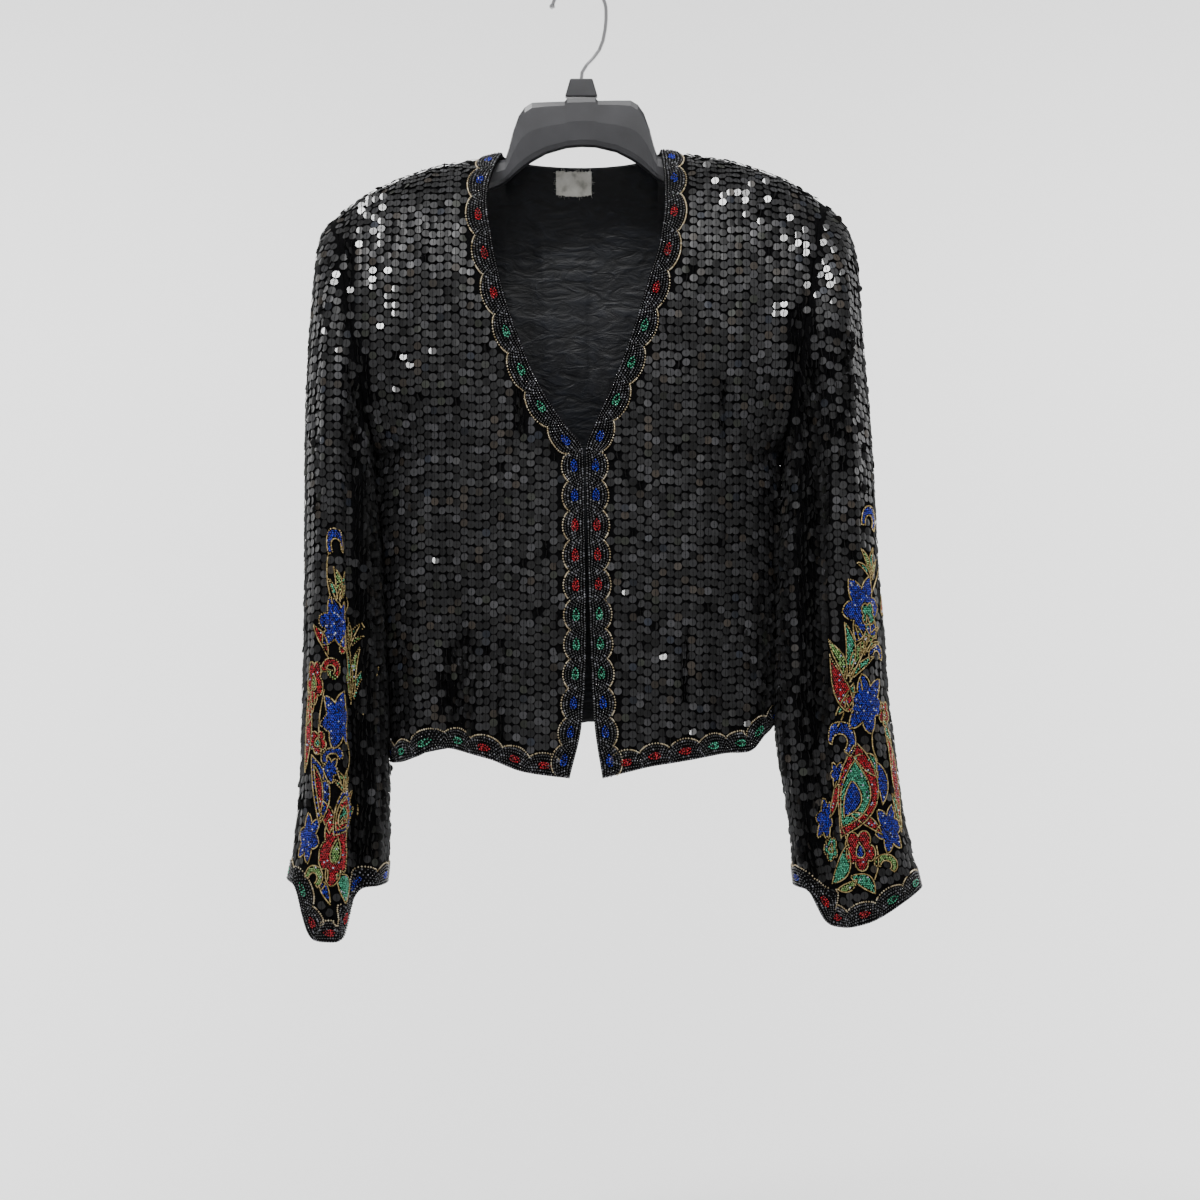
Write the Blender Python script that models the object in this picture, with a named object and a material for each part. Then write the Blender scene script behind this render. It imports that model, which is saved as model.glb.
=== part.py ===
"""Cropped beaded evening jacket with set-in sleeves, hanging open-necked on a moulded plastic hanger.

The origin is the inner top of the wire hook, where a rod carries it. The front faces -Y, +Z is up and
+X is the wearer's left. Sizes are in millimetres and become metres when a mesh is made.
"""

import math
from collections import namedtuple

import bmesh
import bpy
import numpy as np
from mathutils import Vector
from mathutils.bvhtree import BVHTree

MM = 0.001

# Cloth and seams
WALL = 2.0
LINING_WALL = 1.0
SEAM_GAP = 0.3
BORDER_GAP = 0.45
BORDER_WALL = 1.4
SIDES = {"left": 1, "right": -1}

# Hanger: the stem stands beside the middle of the hook, and one arm hangs a little lower
STEM_X = 2.0
HANGER_TILT = math.radians(1.3)
WIRE_RADIUS = 1.6
HOOK_RADIUS = 23.0

# Shoulder line over the hanger's arms, before the tilt
ShoulderRow = namedtuple("ShoulderRow", "out height")
SHOULDER_LINE = [
    ShoulderRow(0, -141.0),
    ShoulderRow(60, -141.0),
    ShoulderRow(88, -146.0),
    ShoulderRow(125, -153.0),
    ShoulderRow(147, -160.0),
    ShoulderRow(165, -167.0),
    ShoulderRow(181, -174.5),
    ShoulderRow(191, -181.0),
    ShoulderRow(206, -192.0),
]

# Armhole: an upright ellipse from the shoulder tip to the armpit
ARMHOLE_TOP_X = 203.0
ARMPIT_X = 171.0
ARMPIT_HEIGHT = -398.0
ARMHOLE_FRONT = 57.0
ARMHOLE_BACK = 52.0
BODY_FRONT = 62.0
BODY_BACK = 58.0
ARCH_DROP = 104.0

# Free edge of each front, from the hem (rise 0) past the point of the V (rise 1) to the shoulder (rise 2)
EdgeRow = namedtuple("EdgeRow", "rise height left right forward")
FRONT_EDGE = [
    EdgeRow(0.00, -668, 19.8, -7.0, 63.0),
    EdgeRow(0.18, -623, 13.2, 3.0, 62.5),
    EdgeRow(0.45, -553, 9.7, 6.6, 62.0),
    EdgeRow(0.70, -480, 7.6, 5.8, 62.0),
    EdgeRow(1.00, -400, 5.9, 4.3, 61.5),
    EdgeRow(1.12, -376, 14.2, -12.3, 62.0),
    EdgeRow(1.27, -345, 28.0, -32.0, 62.0),
    EdgeRow(1.42, -308, 42.0, -48.0, 61.5),
    EdgeRow(1.57, -264, 56.0, -62.5, 60.0),
    EdgeRow(1.70, -222, 68.0, -71.5, 56.0),
    EdgeRow(1.80, -190, 71.5, -75.5, 47.0),
    EdgeRow(1.90, -162, 71.0, -71.0, 28.0),
    EdgeRow(2.00, -141, 69.0, -65.0, 0.0),
]

# Middle of the back, and how high its ridge would stand above the shoulder line at the neck
MiddleRow = namedtuple("MiddleRow", "rise height across back")
BACK_MIDDLE = [
    MiddleRow(0.00, -629, 7.0, 58.0),
    MiddleRow(0.50, -515, 6.0, 60.0),
    MiddleRow(1.00, -402, 5.0, 59.0),
    MiddleRow(2.00, -146, 2.0, 42.0),
]
BACK_NECK_RIDGE = 26.0
BACK_NECK_COLUMNS = 4

# Lower ends of the side seams
SideRow = namedtuple("SideRow", "height across back")
SIDE_HEM = {"left": SideRow(-628, 165.0, 6.0), "right": SideRow(-659, 159.0, 6.0)}
SIDE_ROUNDNESS = 2.4

# Hem of each front: how far it hangs off the line from the front corner to the side seam
HemRow = namedtuple("HemRow", "share left right")
HEM_BOW = [
    HemRow(0.00, 0.0, 0.0),
    HemRow(0.12, -1.5, 3.0),
    HemRow(0.25, -4.6, 12.0),
    HemRow(0.45, -9.0, 17.0),
    HemRow(0.60, -13.5, 8.5),
    HemRow(0.75, -4.0, 2.0),
    HemRow(0.88, 0.0, 0.0),
    HemRow(1.00, 0.0, 0.0),
]

# Hanging folds of the body, each a soft trough (or, with a negative depth, a ridge) that fades upwards
Fold = namedtuple("Fold", "face side across half_width depth top")
BODY_FOLDS = [
    Fold("front", "right", -104, 16, 13.0, -420),
    Fold("front", "right", -136, 13, -5.0, -430),
    Fold("front", "right", -30, 16, -2.5, -470),
    Fold("front", "left", 122, 15, 6.0, -430),
    Fold("front", "left", 56, 15, 3.5, -450),
    Fold("back", "left", 40, 17, 8.0, -330),
    Fold("back", "left", 76, 15, -5.0, -300),
    Fold("back", "left", 112, 16, 9.0, -330),
    Fold("back", "right", -34, 16, 7.0, -350),
    Fold("back", "right", -72, 15, -5.0, -300),
    Fold("back", "right", -106, 17, 10.0, -320),
]

# Sleeves: each row is a ring from its outer point to its inner one, turning from the upright armhole,
# which is the first ring, to the level cuff. forward and back are its depths from between the points.
RingRow = namedtuple("RingRow", "outer_x outer_z inner_x inner_z middle forward back fold")
SLEEVES = {
    "left": [
        RingRow(214, -192, 172.0, -401, 0, 57, 52, 0.1),
        RingRow(224, -204, 172.2, -404, -1, 57, 51, 0.3),
        RingRow(231, -219, 172.4, -408, -2, 56, 51, 0.5),
        RingRow(235, -242, 172.5, -413, -3, 56, 50, 0.7),
        RingRow(237, -272, 172.4, -419, -4, 55, 49, 0.8),
        RingRow(240, -315, 172.3, -428, -5, 54, 48, 0.9),
        RingRow(244, -360, 172.2, -440, -7, 53, 47, 1.0),
        RingRow(247, -405, 172.0, -458, -9, 52, 46, 1.0),
        RingRow(249, -450, 170.2, -482, -11, 51, 46, 1.0),
        RingRow(251.5, -500, 168.8, -516, -12, 50, 45, 1.0),
        RingRow(256, -550, 167.4, -558, -13, 50, 45, 1.0),
        RingRow(259, -600, 166.8, -602, -14, 49, 45, 1.0),
        RingRow(265, -645, 169.0, -644, -14, 48, 45, 0.95),
        RingRow(270, -685, 174.5, -684, -14, 46, 45, 0.9),
        RingRow(277, -722, 179, -720, -14, 44, 45, 0.8),
        RingRow(283, -746, 181, -744, -13, 43, 45, 0.7),
        RingRow(287, -762, 183, -762, -12, 43, 45, 0.6),
    ],
    "right": [
        RingRow(-210, -202, -171.9, -401, 0, 57, 52, 0.1),
        RingRow(-217, -213, -172.0, -404, -1, 57, 52, 0.3),
        RingRow(-220.5, -228, -172.0, -408, -2, 57, 51, 0.5),
        RingRow(-222.5, -250, -171.8, -413, -3, 57, 51, 0.7),
        RingRow(-225, -280, -171.6, -420, -4, 56, 51, 0.8),
        RingRow(-227.5, -320, -171.4, -429, -5, 56, 50, 0.9),
        RingRow(-229, -362, -171.0, -441, -7, 55, 50, 1.0),
        RingRow(-229.5, -405, -170.4, -459, -9, 54, 49, 1.0),
        RingRow(-229.5, -450, -168.6, -482, -11, 53, 49, 1.0),
        RingRow(-229.5, -500, -166.5, -516, -12, 52, 48, 1.0),
        RingRow(-230, -550, -164.5, -558, -13, 52, 48, 1.0),
        RingRow(-231, -600, -162.7, -602, -14, 52, 47, 1.0),
        RingRow(-232, -645, -161.8, -644, -15, 51, 46, 1.0),
        RingRow(-234, -685, -160.6, -684, -15, 50, 46, 0.95),
        RingRow(-238, -722, -160.8, -720, -14, 48, 46, 0.9),
        RingRow(-241, -745, -161.8, -744, -13, 47, 46, 0.85),
        RingRow(-243.5, -756, -163.5, -760, -12, 47, 46, 0.8),
    ],
}
RING_SQUARENESS = 2.25

# Long troughs down each sleeve. turn is the place round the ring in degrees: 0 outer, -90 front.
SleeveFold = namedtuple("SleeveFold", "side turn half_turn depth first")
SLEEVE_FOLDS = [
    SleeveFold("left", -117, 17, 18.0, 0.0),
    SleeveFold("left", 62, 15, 8.0, 6.0),
    SleeveFold("left", 118, 15, 7.0, 4.0),
    SleeveFold("right", -119, 16, 15.0, 0.0),
    SleeveFold("right", 66, 15, 7.0, 5.0),
    SleeveFold("right", 122, 15, 8.0, 4.0),
]
# Seams between the upper and the under piece of each sleeve
UPPER_TURNS = (-90, 90)
# How far the cuff's front hangs below its level ring
CuffDrop = namedtuple("CuffDrop", "turn inward inward_power outward outward_power drop")
CUFF_DROP = {"left": CuffDrop(-110, 27, 4, 54, 2, 31.0), "right": CuffDrop(-86, 34, 4, 34, 4, 45.0)}
CUFF_RISE_RINGS = 5.0

# Beaded border: a band with a scalloped inner edge along every free edge
SCALLOP_PITCH = 25.0
BAND_WIDTH = 11.5
EDGE_BAND = 19.0
ScallopRow = namedtuple("ScallopRow", "phase rise")
SCALLOP = [ScallopRow(0.0, 0.0), ScallopRow(0.2, 4.4), ScallopRow(0.5, 6.0), ScallopRow(0.8, 4.4)]
NECK_BAND_TURN = math.radians(75)
HALVES = (0.0, 0.5, 1.0)
NECK_BAND_LINES = 5
NECK_BAND_GAP = 0.7
BEND_APART = 1.2

# Care label inside the back neck
LABEL_MIDDLE_X = -5.0
LABEL_WIDTH = 31.0
LABEL_TOP = -149.5
LABEL_DROP = 19.0
LABEL_WALL = 0.6
LABEL_GAP = 0.35

# Hanger: the plate's and arms' upper edge, lower edge and half depth, out from the stem
HangerRow = namedtuple("HangerRow", "out top bottom half_depth squareness")
HANGER = [
    HangerRow(0, -95.4, -137.0, 7.0, 5.0),
    HangerRow(12, -95.4, -137.8, 7.0, 5.0),
    HangerRow(14, -98.0, -138.2, 7.0, 5.0),
    HangerRow(30, -98.0, -142.5, 7.0, 5.0),
    HangerRow(42, -98.2, -149.0, 7.0, 5.0),
    HangerRow(48, -102.0, -153.0, 7.0, 5.0),
    HangerRow(53, -109.0, -157.0, 7.2, 4.6),
    HangerRow(58, -123.0, -161.0, 7.4, 4.2),
    HangerRow(61.5, -137.0, -164.0, 7.6, 3.8),
    HangerRow(64.5, -146.5, -166.0, 7.8, 3.4),
    HangerRow(70, -146.5, -169.5, 8.2, 3.0),
    HangerRow(80, -145.0, -173.5, 9.0, 2.6),
    HangerRow(100, -147.0, -175.5, 10.0, 2.3),
    HangerRow(125, -153.0, -179.0, 11.5, 2.2),
    HangerRow(150, -161.0, -186.0, 13.0, 2.2),
    HangerRow(172, -170.0, -193.0, 14.0, 2.2),
    HangerRow(186, -177.0, -197.0, 13.0, 2.2),
    HangerRow(195, -184.0, -198.0, 10.0, 2.2),
]
ARM_GAP = 0.35
SEAM_FEEL = 0.8
TAB_TOP = -79.5
TAB_BOTTOM = -94.9
TAB_HALF_TOP = 9.5
TAB_HALF_BOTTOM = 14.0
TAB_HALF_DEPTH = 4.5
TAB_ROUND = 1.2

# Middle line of the hook from its foot on the tab to where its round part begins
WirePoint = namedtuple("WirePoint", "x z")
HOOK_STEM = [
    WirePoint(2.0, -79.2),
    WirePoint(2.6, -73.5),
    WirePoint(6.3, -67.5),
    WirePoint(12.0, -61.5),
    WirePoint(17.2, -54.5),
    WirePoint(20.3, -46.5),
    WirePoint(22.2, -37.0),
    WirePoint(23.0, -28.5),
]
HOOK_STEP = math.radians(7.5)
HOOK_STEPS = 22
HOOK_BALL = 2.6
BALL_RINGS = 5
BALL_END = math.radians(165)
WIRE_POINTS = 8

# Mesh steps
BODY_COLUMNS = 11
LOWER_ROWS = 10
UPPER_ROWS = 13
RING_STEPS = 19
RING_POINTS = 25
HANGER_POINTS = 12


def columns_of(table, *names):
    """Columns of a table as arrays."""
    return [np.array([getattr(row, name) for row in table], float) for name in names]


def smooth_through(knots, values, at):
    """Cubic curve through the rows of a table that never overshoots them."""
    knots = np.asarray(knots, float)
    values = np.asarray(values, float)
    at = np.clip(np.asarray(at, float), knots[0], knots[-1])
    step = np.diff(knots)
    slope = np.diff(values) / step
    tangent = np.zeros_like(values)
    same = slope[:-1] * slope[1:] > 0
    weight_a = 2 * step[1:] + step[:-1]
    weight_b = step[1:] + 2 * step[:-1]
    safe_a = np.where(same, slope[:-1], 1.0)
    safe_b = np.where(same, slope[1:], 1.0)
    mean = (weight_a + weight_b) / (weight_a / safe_a + weight_b / safe_b)
    tangent[1:-1] = np.where(same, mean, 0.0)
    tangent[0], tangent[-1] = slope[0], slope[-1]
    i = np.clip(np.searchsorted(knots, at, side="right") - 1, 0, len(step) - 1)
    t = (at - knots[i]) / step[i]
    return (
        (1 + 2 * t) * (1 - t) ** 2 * values[i]
        + t * (1 - t) ** 2 * step[i] * tangent[i]
        + t * t * (3 - 2 * t) * values[i + 1]
        + t * t * (t - 1) * step[i] * tangent[i + 1]
    )


def ease(value, low, high):
    """0 below low, 1 above high, smooth between."""
    t = np.clip((np.asarray(value, float) - low) / (high - low), 0, 1)
    return t * t * (3 - 2 * t)


def bell(value, middle, half_width):
    """Soft bump, 1 at its middle."""
    return np.exp(-(((value - middle) / half_width) ** 2))


def unit(vectors):
    """Vectors at length 1."""
    return vectors / np.maximum(np.linalg.norm(vectors, axis=-1, keepdims=True), 1e-9)


def length_along(line):
    """Distance from the start to each point of a line."""
    return np.concatenate([[0], np.cumsum(np.linalg.norm(np.diff(line, axis=0), axis=1))])


def shoulder_height(x):
    """Height of the shoulder line's outer face, with the hanger's tilt."""
    out, height = columns_of(SHOULDER_LINE, "out", "height")
    across = np.asarray(x, float) - STEM_X
    return smooth_through(out, height, np.abs(across)) + math.tan(HANGER_TILT) * across


def arch(drop):
    """Share of the full depth at this drop below the ridge."""
    left = 1 - np.clip(drop, 0, ARCH_DROP) / ARCH_DROP
    return np.sqrt(np.clip(1 - left**2, 0, 1))


def armhole_ends(side):
    """Shoulder tip and armpit."""
    x = SIDES[side] * ARMHOLE_TOP_X
    tip = np.array([x, 0.0, float(shoulder_height(x))])
    return tip, np.array([SIDES[side] * ARMPIT_X, 0.0, ARMPIT_HEIGHT])


def armhole(side, turn):
    """Points of the armhole and directions out of it in its own plane, turn in radians from the tip."""
    tip, pit = armhole_ends(side)
    half = (tip - pit) / 2
    reach = np.where(np.sin(turn) < 0, ARMHOLE_FRONT, ARMHOLE_BACK)
    points = (tip + pit) / 2 + np.cos(turn)[:, None] * half
    points[:, 1] = reach * np.sin(turn)
    out = (np.cos(turn) * reach)[:, None] * unit(half)
    out[:, 1] = np.linalg.norm(half) * np.sin(turn)
    return points, unit(out)


def outer_edge(side, face, rise):
    """Side seam up to the armpit, then the armhole up to the shoulder tip, with the armhole's directions."""
    hem = SIDE_HEM[side]
    share = np.clip(rise, 0, 1)
    x = SIDES[side] * (hem.across + (ARMPIT_X - hem.across) * share)
    z = hem.height + (ARMPIT_HEIGHT - hem.height) * share
    seam = np.stack([x, hem.back * (1 - share), z], axis=1)
    turn = math.pi * (2 - np.asarray(rise, float)) * (-1 if face == "front" else 1)
    points, out = armhole(side, turn)
    return np.where((rise > 1)[:, None], points, seam), out


def neck_point(side):
    """Where the neck edge meets the shoulder seam."""
    x = getattr(FRONT_EDGE[-1], side)
    return np.array([x, 0.0, float(shoulder_height(x))])


def ridge_height(x, face, side):
    """Height from which the cloth's arch is measured: the back has a low ridge across its neck."""
    if face == "front":
        return shoulder_height(x)
    within = 1 - np.clip(x / neck_point(side)[0], 0, 1) ** 2
    return shoulder_height(x) + BACK_NECK_RIDGE * within


def folds_at(side, face, x, z):
    """How far the hanging folds push the cloth into the body."""
    depth = np.zeros_like(x)
    hem = SIDE_HEM[side].height
    for fold in BODY_FOLDS:
        if fold.side == side and fold.face == face:
            depth += fold.depth * (1 - ease(z, hem, fold.top)) * bell(x, fold.across, fold.half_width)
    return depth


def inner_edge(side, face, rise):
    """Free edge of a front, or the middle line of the back."""
    if face == "front":
        knots, height, across, depth = columns_of(FRONT_EDGE, "rise", "height", side, "forward")
        height[-1] = neck_point(side)[2]
        depth = -depth
    else:
        knots, height, across, depth = columns_of(BACK_MIDDLE, "rise", "height", "across", "back")
    columns = [smooth_through(knots, values, rise) for values in (across, depth, height)]
    return np.stack(columns, axis=1)


def back_top(side, share):
    """Across and height of the back's top row: its neck edge, then its shoulder seam."""
    neck, tip = neck_point(side), armhole_ends(side)[0]
    middle = BACK_MIDDLE[-1]
    neck_share = BACK_NECK_COLUMNS / BODY_COLUMNS
    turn = np.clip(share / neck_share, 0, 1) * math.pi / 2
    beyond = np.clip((share - neck_share) / (1 - neck_share), 0, 1)
    x = middle.across + (neck[0] - middle.across) * np.sin(turn) + (tip[0] - neck[0]) * beyond
    curve = middle.height + (neck[2] - middle.height) * (1 - np.cos(turn))
    return x, np.where(share < neck_share, curve, shoulder_height(x))


def body_surface(side, face, rise, share):
    """Grid of points of the outer face of a front or a half back, rise by share."""
    inner = inner_edge(side, face, rise)[:, None, :]
    outer = outer_edge(side, face, rise)[0][:, None, :]
    turned = (1 - 0.8 * ease(rise, 0.9, 1.45))[:, None]
    angle = share[None, :] * math.pi / 2
    share_x = (1 - turned) * share[None, :] + turned * np.sin(angle) ** (2 / SIDE_ROUNDNESS)
    round_y = 1 - np.cos(angle) ** (2 / SIDE_ROUNDNESS)
    share_y = (1 - turned) * share[None, :] ** 2 + turned * round_y
    climb = ((1 - np.cos(math.pi * np.clip(rise - 1, 0, 1))) / 2)[:, None]
    if face == "back":
        lower = np.clip(rise, 0, 1)
        low_in = inner_edge(side, face, lower)[:, None, :]
        low_out = outer_edge(side, face, lower)[0][:, None, :]
        top_x, top_z = back_top(side, share)
        x = low_in[..., 0] + (low_out[..., 0] - low_in[..., 0]) * share_x
        z = low_in[..., 2] + (low_out[..., 2] - low_in[..., 2]) * share_x
        x = x + (top_x[None, :] - x) * climb
        z = z + (top_z[None, :] - z) * climb
    else:
        x = inner[..., 0] + (outer[..., 0] - inner[..., 0]) * share_x
        z = inner[..., 2] + (outer[..., 2] - inner[..., 2]) * share_x
        ends = shoulder_height(inner[..., 0]), shoulder_height(outer[..., 0])
        straight = ends[0] + (ends[1] - ends[0]) * share_x
        z = z + (shoulder_height(x) - straight) * climb
        knots, bow = columns_of(HEM_BOW, "share", side)
        z = z + smooth_through(knots, bow, share)[None, :] * (1 - ease(rise, 0.0, 0.55))[:, None]
    sign = -1 if face == "front" else 1
    full = (BODY_FRONT, ARMHOLE_FRONT) if face == "front" else (BODY_BACK, ARMHOLE_BACK)
    depth = full[0] + (full[1] - full[0]) * share[None, :]
    high = sign * depth * arch(ridge_height(x, face, side) - z)
    if face == "front":
        high = high + (inner[..., 1] - high[:, :1]) * (1 - share[None, :]) ** 4
    high = high + (outer[..., 1] - high[:, -1:]) * share[None, :] ** 4
    low = inner[..., 1] + (outer[..., 1] - inner[..., 1]) * share_y
    y = low + (high - low) * ease(rise, 1.3, 1.6)[:, None]
    edge_fade = np.minimum(ease(share, 0.0, 0.12), 1 - ease(share, 0.88, 1.0))[None, :]
    y = y - sign * folds_at(side, face, x, z) * edge_fade
    return np.stack([x, y, z], axis=-1)


def body_rises():
    """Rows of the body: the first holds the hem's border, and they crowd towards the shoulder."""
    low = np.concatenate([[0.0], np.linspace(0.075, 1.0, LOWER_ROWS)])
    high = 1 + np.sin(np.linspace(0, math.pi / 2, UPPER_ROWS)[1:]) ** 1.1
    return np.concatenate([low, high])


def grid_normals(grid, outward, wrap=False):
    """Unit normals at a grid's points; outward gives the sign."""
    along = np.roll(grid, -1, axis=1) - np.roll(grid, 1, axis=1) if wrap else np.gradient(grid, axis=1)
    return outward * unit(np.cross(along, np.gradient(grid, axis=0)))


def panel(side, face):
    """Grid and outward normals of one front or half back. A front's first column holds its border."""
    rises = body_rises()
    if face == "front":
        dense = body_surface(side, face, rises, np.linspace(0, 1, 181))
        shares = np.linspace(0, 1, BODY_COLUMNS)
        grid = np.empty((len(rises), BODY_COLUMNS + 1, 3))
        for i, row in enumerate(dense):
            along = length_along(row)
            places = np.concatenate([[0], EDGE_BAND + (along[-1] - EDGE_BAND) * shares])
            grid[i] = np.stack([np.interp(places, along, row[:, k]) for k in range(3)], axis=1)
    else:
        grid = body_surface(side, face, rises, np.linspace(0, 1, BODY_COLUMNS + 1))
    normals = grid_normals(grid, SIDES[side] * (1 if face == "front" else -1))
    # Both faces meet upright along the shoulder seam, square to the side seam and round the armhole
    normals[-1, np.abs(grid[-1, :, 1]) < 0.5, 1] = 0.0
    normals[: LOWER_ROWS + 1, -1, 1] = 0.0
    if face == "back":
        normals[:, 0, 0] = 0.0
    around = rises >= 1
    normals[around, -1] = outer_edge(side, face, rises[around])[1]
    return grid, unit(normals)


def trimmed(grid, amount, edges):
    """The grid with its named edges pulled in along the surface by amount."""
    grid = grid.copy()
    below_armhole = slice(0, LOWER_ROWS + 1)
    pull = {
        "top": (np.s_[-1], np.s_[-2]),
        "last": (np.s_[below_armhole, -1], np.s_[below_armhole, -2]),
        "first": (np.s_[below_armhole, 0], np.s_[below_armhole, 1]),
    }
    for edge in edges:
        here, beside = pull[edge]
        grid[here] = grid[here] + unit(grid[beside] - grid[here]) * amount
    return grid


def sleeve_rings(side):
    """Rows of a sleeve, the first of them just outside the armhole."""
    tip, pit = armhole_ends(side)
    away = unit(np.array([(tip - pit)[2], 0.0, -(tip - pit)[0]])) * SIDES[side] * SEAM_GAP
    tip, pit = tip + away, pit + away
    first = RingRow(tip[0], tip[2], pit[0], pit[2], 0, ARMHOLE_FRONT, ARMHOLE_BACK, 0.0)
    return [first] + SLEEVES[side]


def sleeve_surface(side, down, turn):
    """Grid of points of the outer face of a sleeve: down in rings, turn in degrees."""
    table = sleeve_rings(side)
    last = len(table) - 1
    names = ("outer_x", "outer_z", "inner_x", "inner_z", "middle", "forward", "back", "fold")
    knots = np.arange(len(table), dtype=float)
    rings = [smooth_through(knots, column, down)[:, None] for column in columns_of(table, *names)]
    outer_x, outer_z, inner_x, inner_z, middle, forward, back, fold = rings
    half = np.hypot(outer_x - inner_x, outer_z - inner_z) / 2
    angle = np.radians(turn)[None, :]
    power = 2 / (2 + (RING_SQUARENESS - 2) * ease(down, 0, 6))[:, None]
    across = half * np.sign(np.cos(angle)) * np.abs(np.cos(angle)) ** power
    reach = np.where(np.sin(angle) < 0, forward, back)
    depth = reach * np.sign(np.sin(angle)) * np.abs(np.sin(angle)) ** power
    for trough in SLEEVE_FOLDS:
        if trough.side == side:
            strength = ease(down, trough.first, trough.first + 3.0)[:, None] * fold * trough.depth
            away = (turn - trough.turn + 180) % 360 - 180
            dent = strength * bell(away, 0, trough.half_turn)[None, :]
            lean = math.radians(trough.turn)
            aim_across, aim_depth = math.cos(lean) * reach, math.sin(lean) * half
            size = np.hypot(aim_across, aim_depth)
            across = across - dent * aim_across / size
            depth = depth - dent * aim_depth / size
    x = (outer_x + inner_x) / 2 + across / half * (outer_x - inner_x) / 2
    z = (outer_z + inner_z) / 2 + across / half * (outer_z - inner_z) / 2
    cuff = CUFF_DROP[side]
    away = (turn - cuff.turn + 180) % 360 - 180
    inward = np.exp(-(np.abs(away / cuff.inward) ** cuff.inward_power))
    outward = np.exp(-(np.abs(away / cuff.outward) ** cuff.outward_power))
    drop = cuff.drop * np.where(away < 0, inward, outward)[None, :]
    z = z - drop * ease(down, last - CUFF_RISE_RINGS, last)[:, None]
    return np.stack([x, middle + depth, z], axis=-1)


def sleeve(side):
    """Grid, outward normals and turns of a sleeve. Its last row of faces holds the cuff's border."""
    trough = [fold.turn for fold in SLEEVE_FOLDS if fold.side == side][0]
    fine = np.linspace(-180, 180, 721)
    away = (fine - trough + 180) % 360 - 180
    weight = np.cumsum(1 + 1.6 * bell(away, 0, 38))
    weight = (weight - weight[0]) / (weight[-1] - weight[0])
    turns = np.interp(np.arange(RING_POINTS) / RING_POINTS, weight, fine)
    dense = sleeve_surface(side, np.linspace(0, len(SLEEVES[side]), 361), turns)
    steps = np.linspace(0, 1, RING_STEPS) ** 0.9
    grid = np.empty((RING_STEPS + 1, RING_POINTS, 3))
    for j in range(RING_POINTS):
        along = length_along(dense[:, j])
        places = np.concatenate([(along[-1] - EDGE_BAND) * steps, [along[-1]]])
        grid[:, j] = np.stack([np.interp(places, along, dense[:, j, k]) for k in range(3)], axis=1)
    normals = grid_normals(grid, -SIDES[side], wrap=True)
    normals[0] = armhole(side, np.radians(turns))[1]
    return grid, normals, turns


def sleeve_pieces(side, surface, turns, finish):
    """Upper and under piece of a sleeve, seam to seam, a seam's gap apart."""
    first, last = [int(np.abs(turns - turn).argmin()) for turn in UPPER_TURNS]
    count = len(turns)
    spans = {"upper": range(first, last + 1), "under": range(last, first + count + 1)}
    for piece, span in spans.items():
        columns = [column % count for column in span]
        grid, normals = surface[0][:, columns].copy(), surface[1][:, columns]
        for here, beside in ((0, 1), (-1, -2)):
            grid[:, here] += unit(grid[:, beside] - grid[:, here]) * SEAM_GAP / 2
        wall(f"sleeve_{piece}_{side}", grid, normals, WALL, finish(f"sleeve_{piece}_{side}"))


def material(name, colour, roughness, metallic=0.0):
    """Plain shader with the part's colour as linear values."""
    made = bpy.data.materials.new(name)
    made.use_nodes = True
    shader = made.node_tree.nodes["Principled BSDF"]
    shader.inputs["Base Color"].default_value = (*colour, 1.0)
    shader.inputs["Roughness"].default_value = roughness
    shader.inputs["Metallic"].default_value = metallic
    return made


def add_object(name, points, faces, finish):
    """One closed mesh object from points in millimetres, its faces turned outwards and shaded smooth."""
    mesh = bpy.data.meshes.new(name)
    mesh.from_pydata([tuple(float(c) * MM for c in p) for p in points], [], faces)
    work = bmesh.new()
    work.from_mesh(mesh)
    bmesh.ops.recalc_face_normals(work, faces=work.faces)
    if work.calc_volume(signed=True) < 0:
        bmesh.ops.reverse_faces(work, faces=work.faces)
    work.to_mesh(mesh)
    work.free()
    mesh.shade_smooth()
    mesh.materials.append(finish)
    made = bpy.data.objects.new(name, mesh)
    bpy.context.scene.collection.objects.link(made)
    return made


def wall(name, grid, normals, thickness, finish, wrap=False, lift=0.0):
    """Closed wall from a grid of outer points, moved out by lift and thickened inwards.

    Every wall's triangles lie the same way, so that one wall fits over another.
    """
    rows, columns = grid.shape[:2]
    outer = (grid + normals * lift).reshape(-1, 3)
    inner = (grid + normals * (lift - thickness)).reshape(-1, 3)
    count = rows * columns
    faces = []
    spans = columns if wrap else columns - 1
    for i in range(rows - 1):
        for j in range(spans):
            a, b = i * columns + j, i * columns + (j + 1) % columns
            for corners in ((a, b, b + columns), (a, b + columns, a + columns)):
                faces.append(corners)
                faces.append([count + corner for corner in reversed(corners)])
    for j in range(spans):
        for i in (0, rows - 1):
            a, b = i * columns + j, i * columns + (j + 1) % columns
            faces.append((a, b, count + b, count + a))
    if not wrap:
        for i in range(rows - 1):
            for j in (0, columns - 1):
                a, b = i * columns + j, (i + 1) * columns + j
                faces.append((a, b, count + b, count + a))
    return add_object(name, np.concatenate([outer, inner]), faces, finish)


def both_halves(left, right):
    """Grid and normals of the whole back, from the right side seam to the left one."""
    grid = np.concatenate([right[0][:, :0:-1], left[0]], axis=1)
    normals = np.concatenate([right[1][:, :0:-1], left[1]], axis=1)
    return grid, normals


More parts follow.
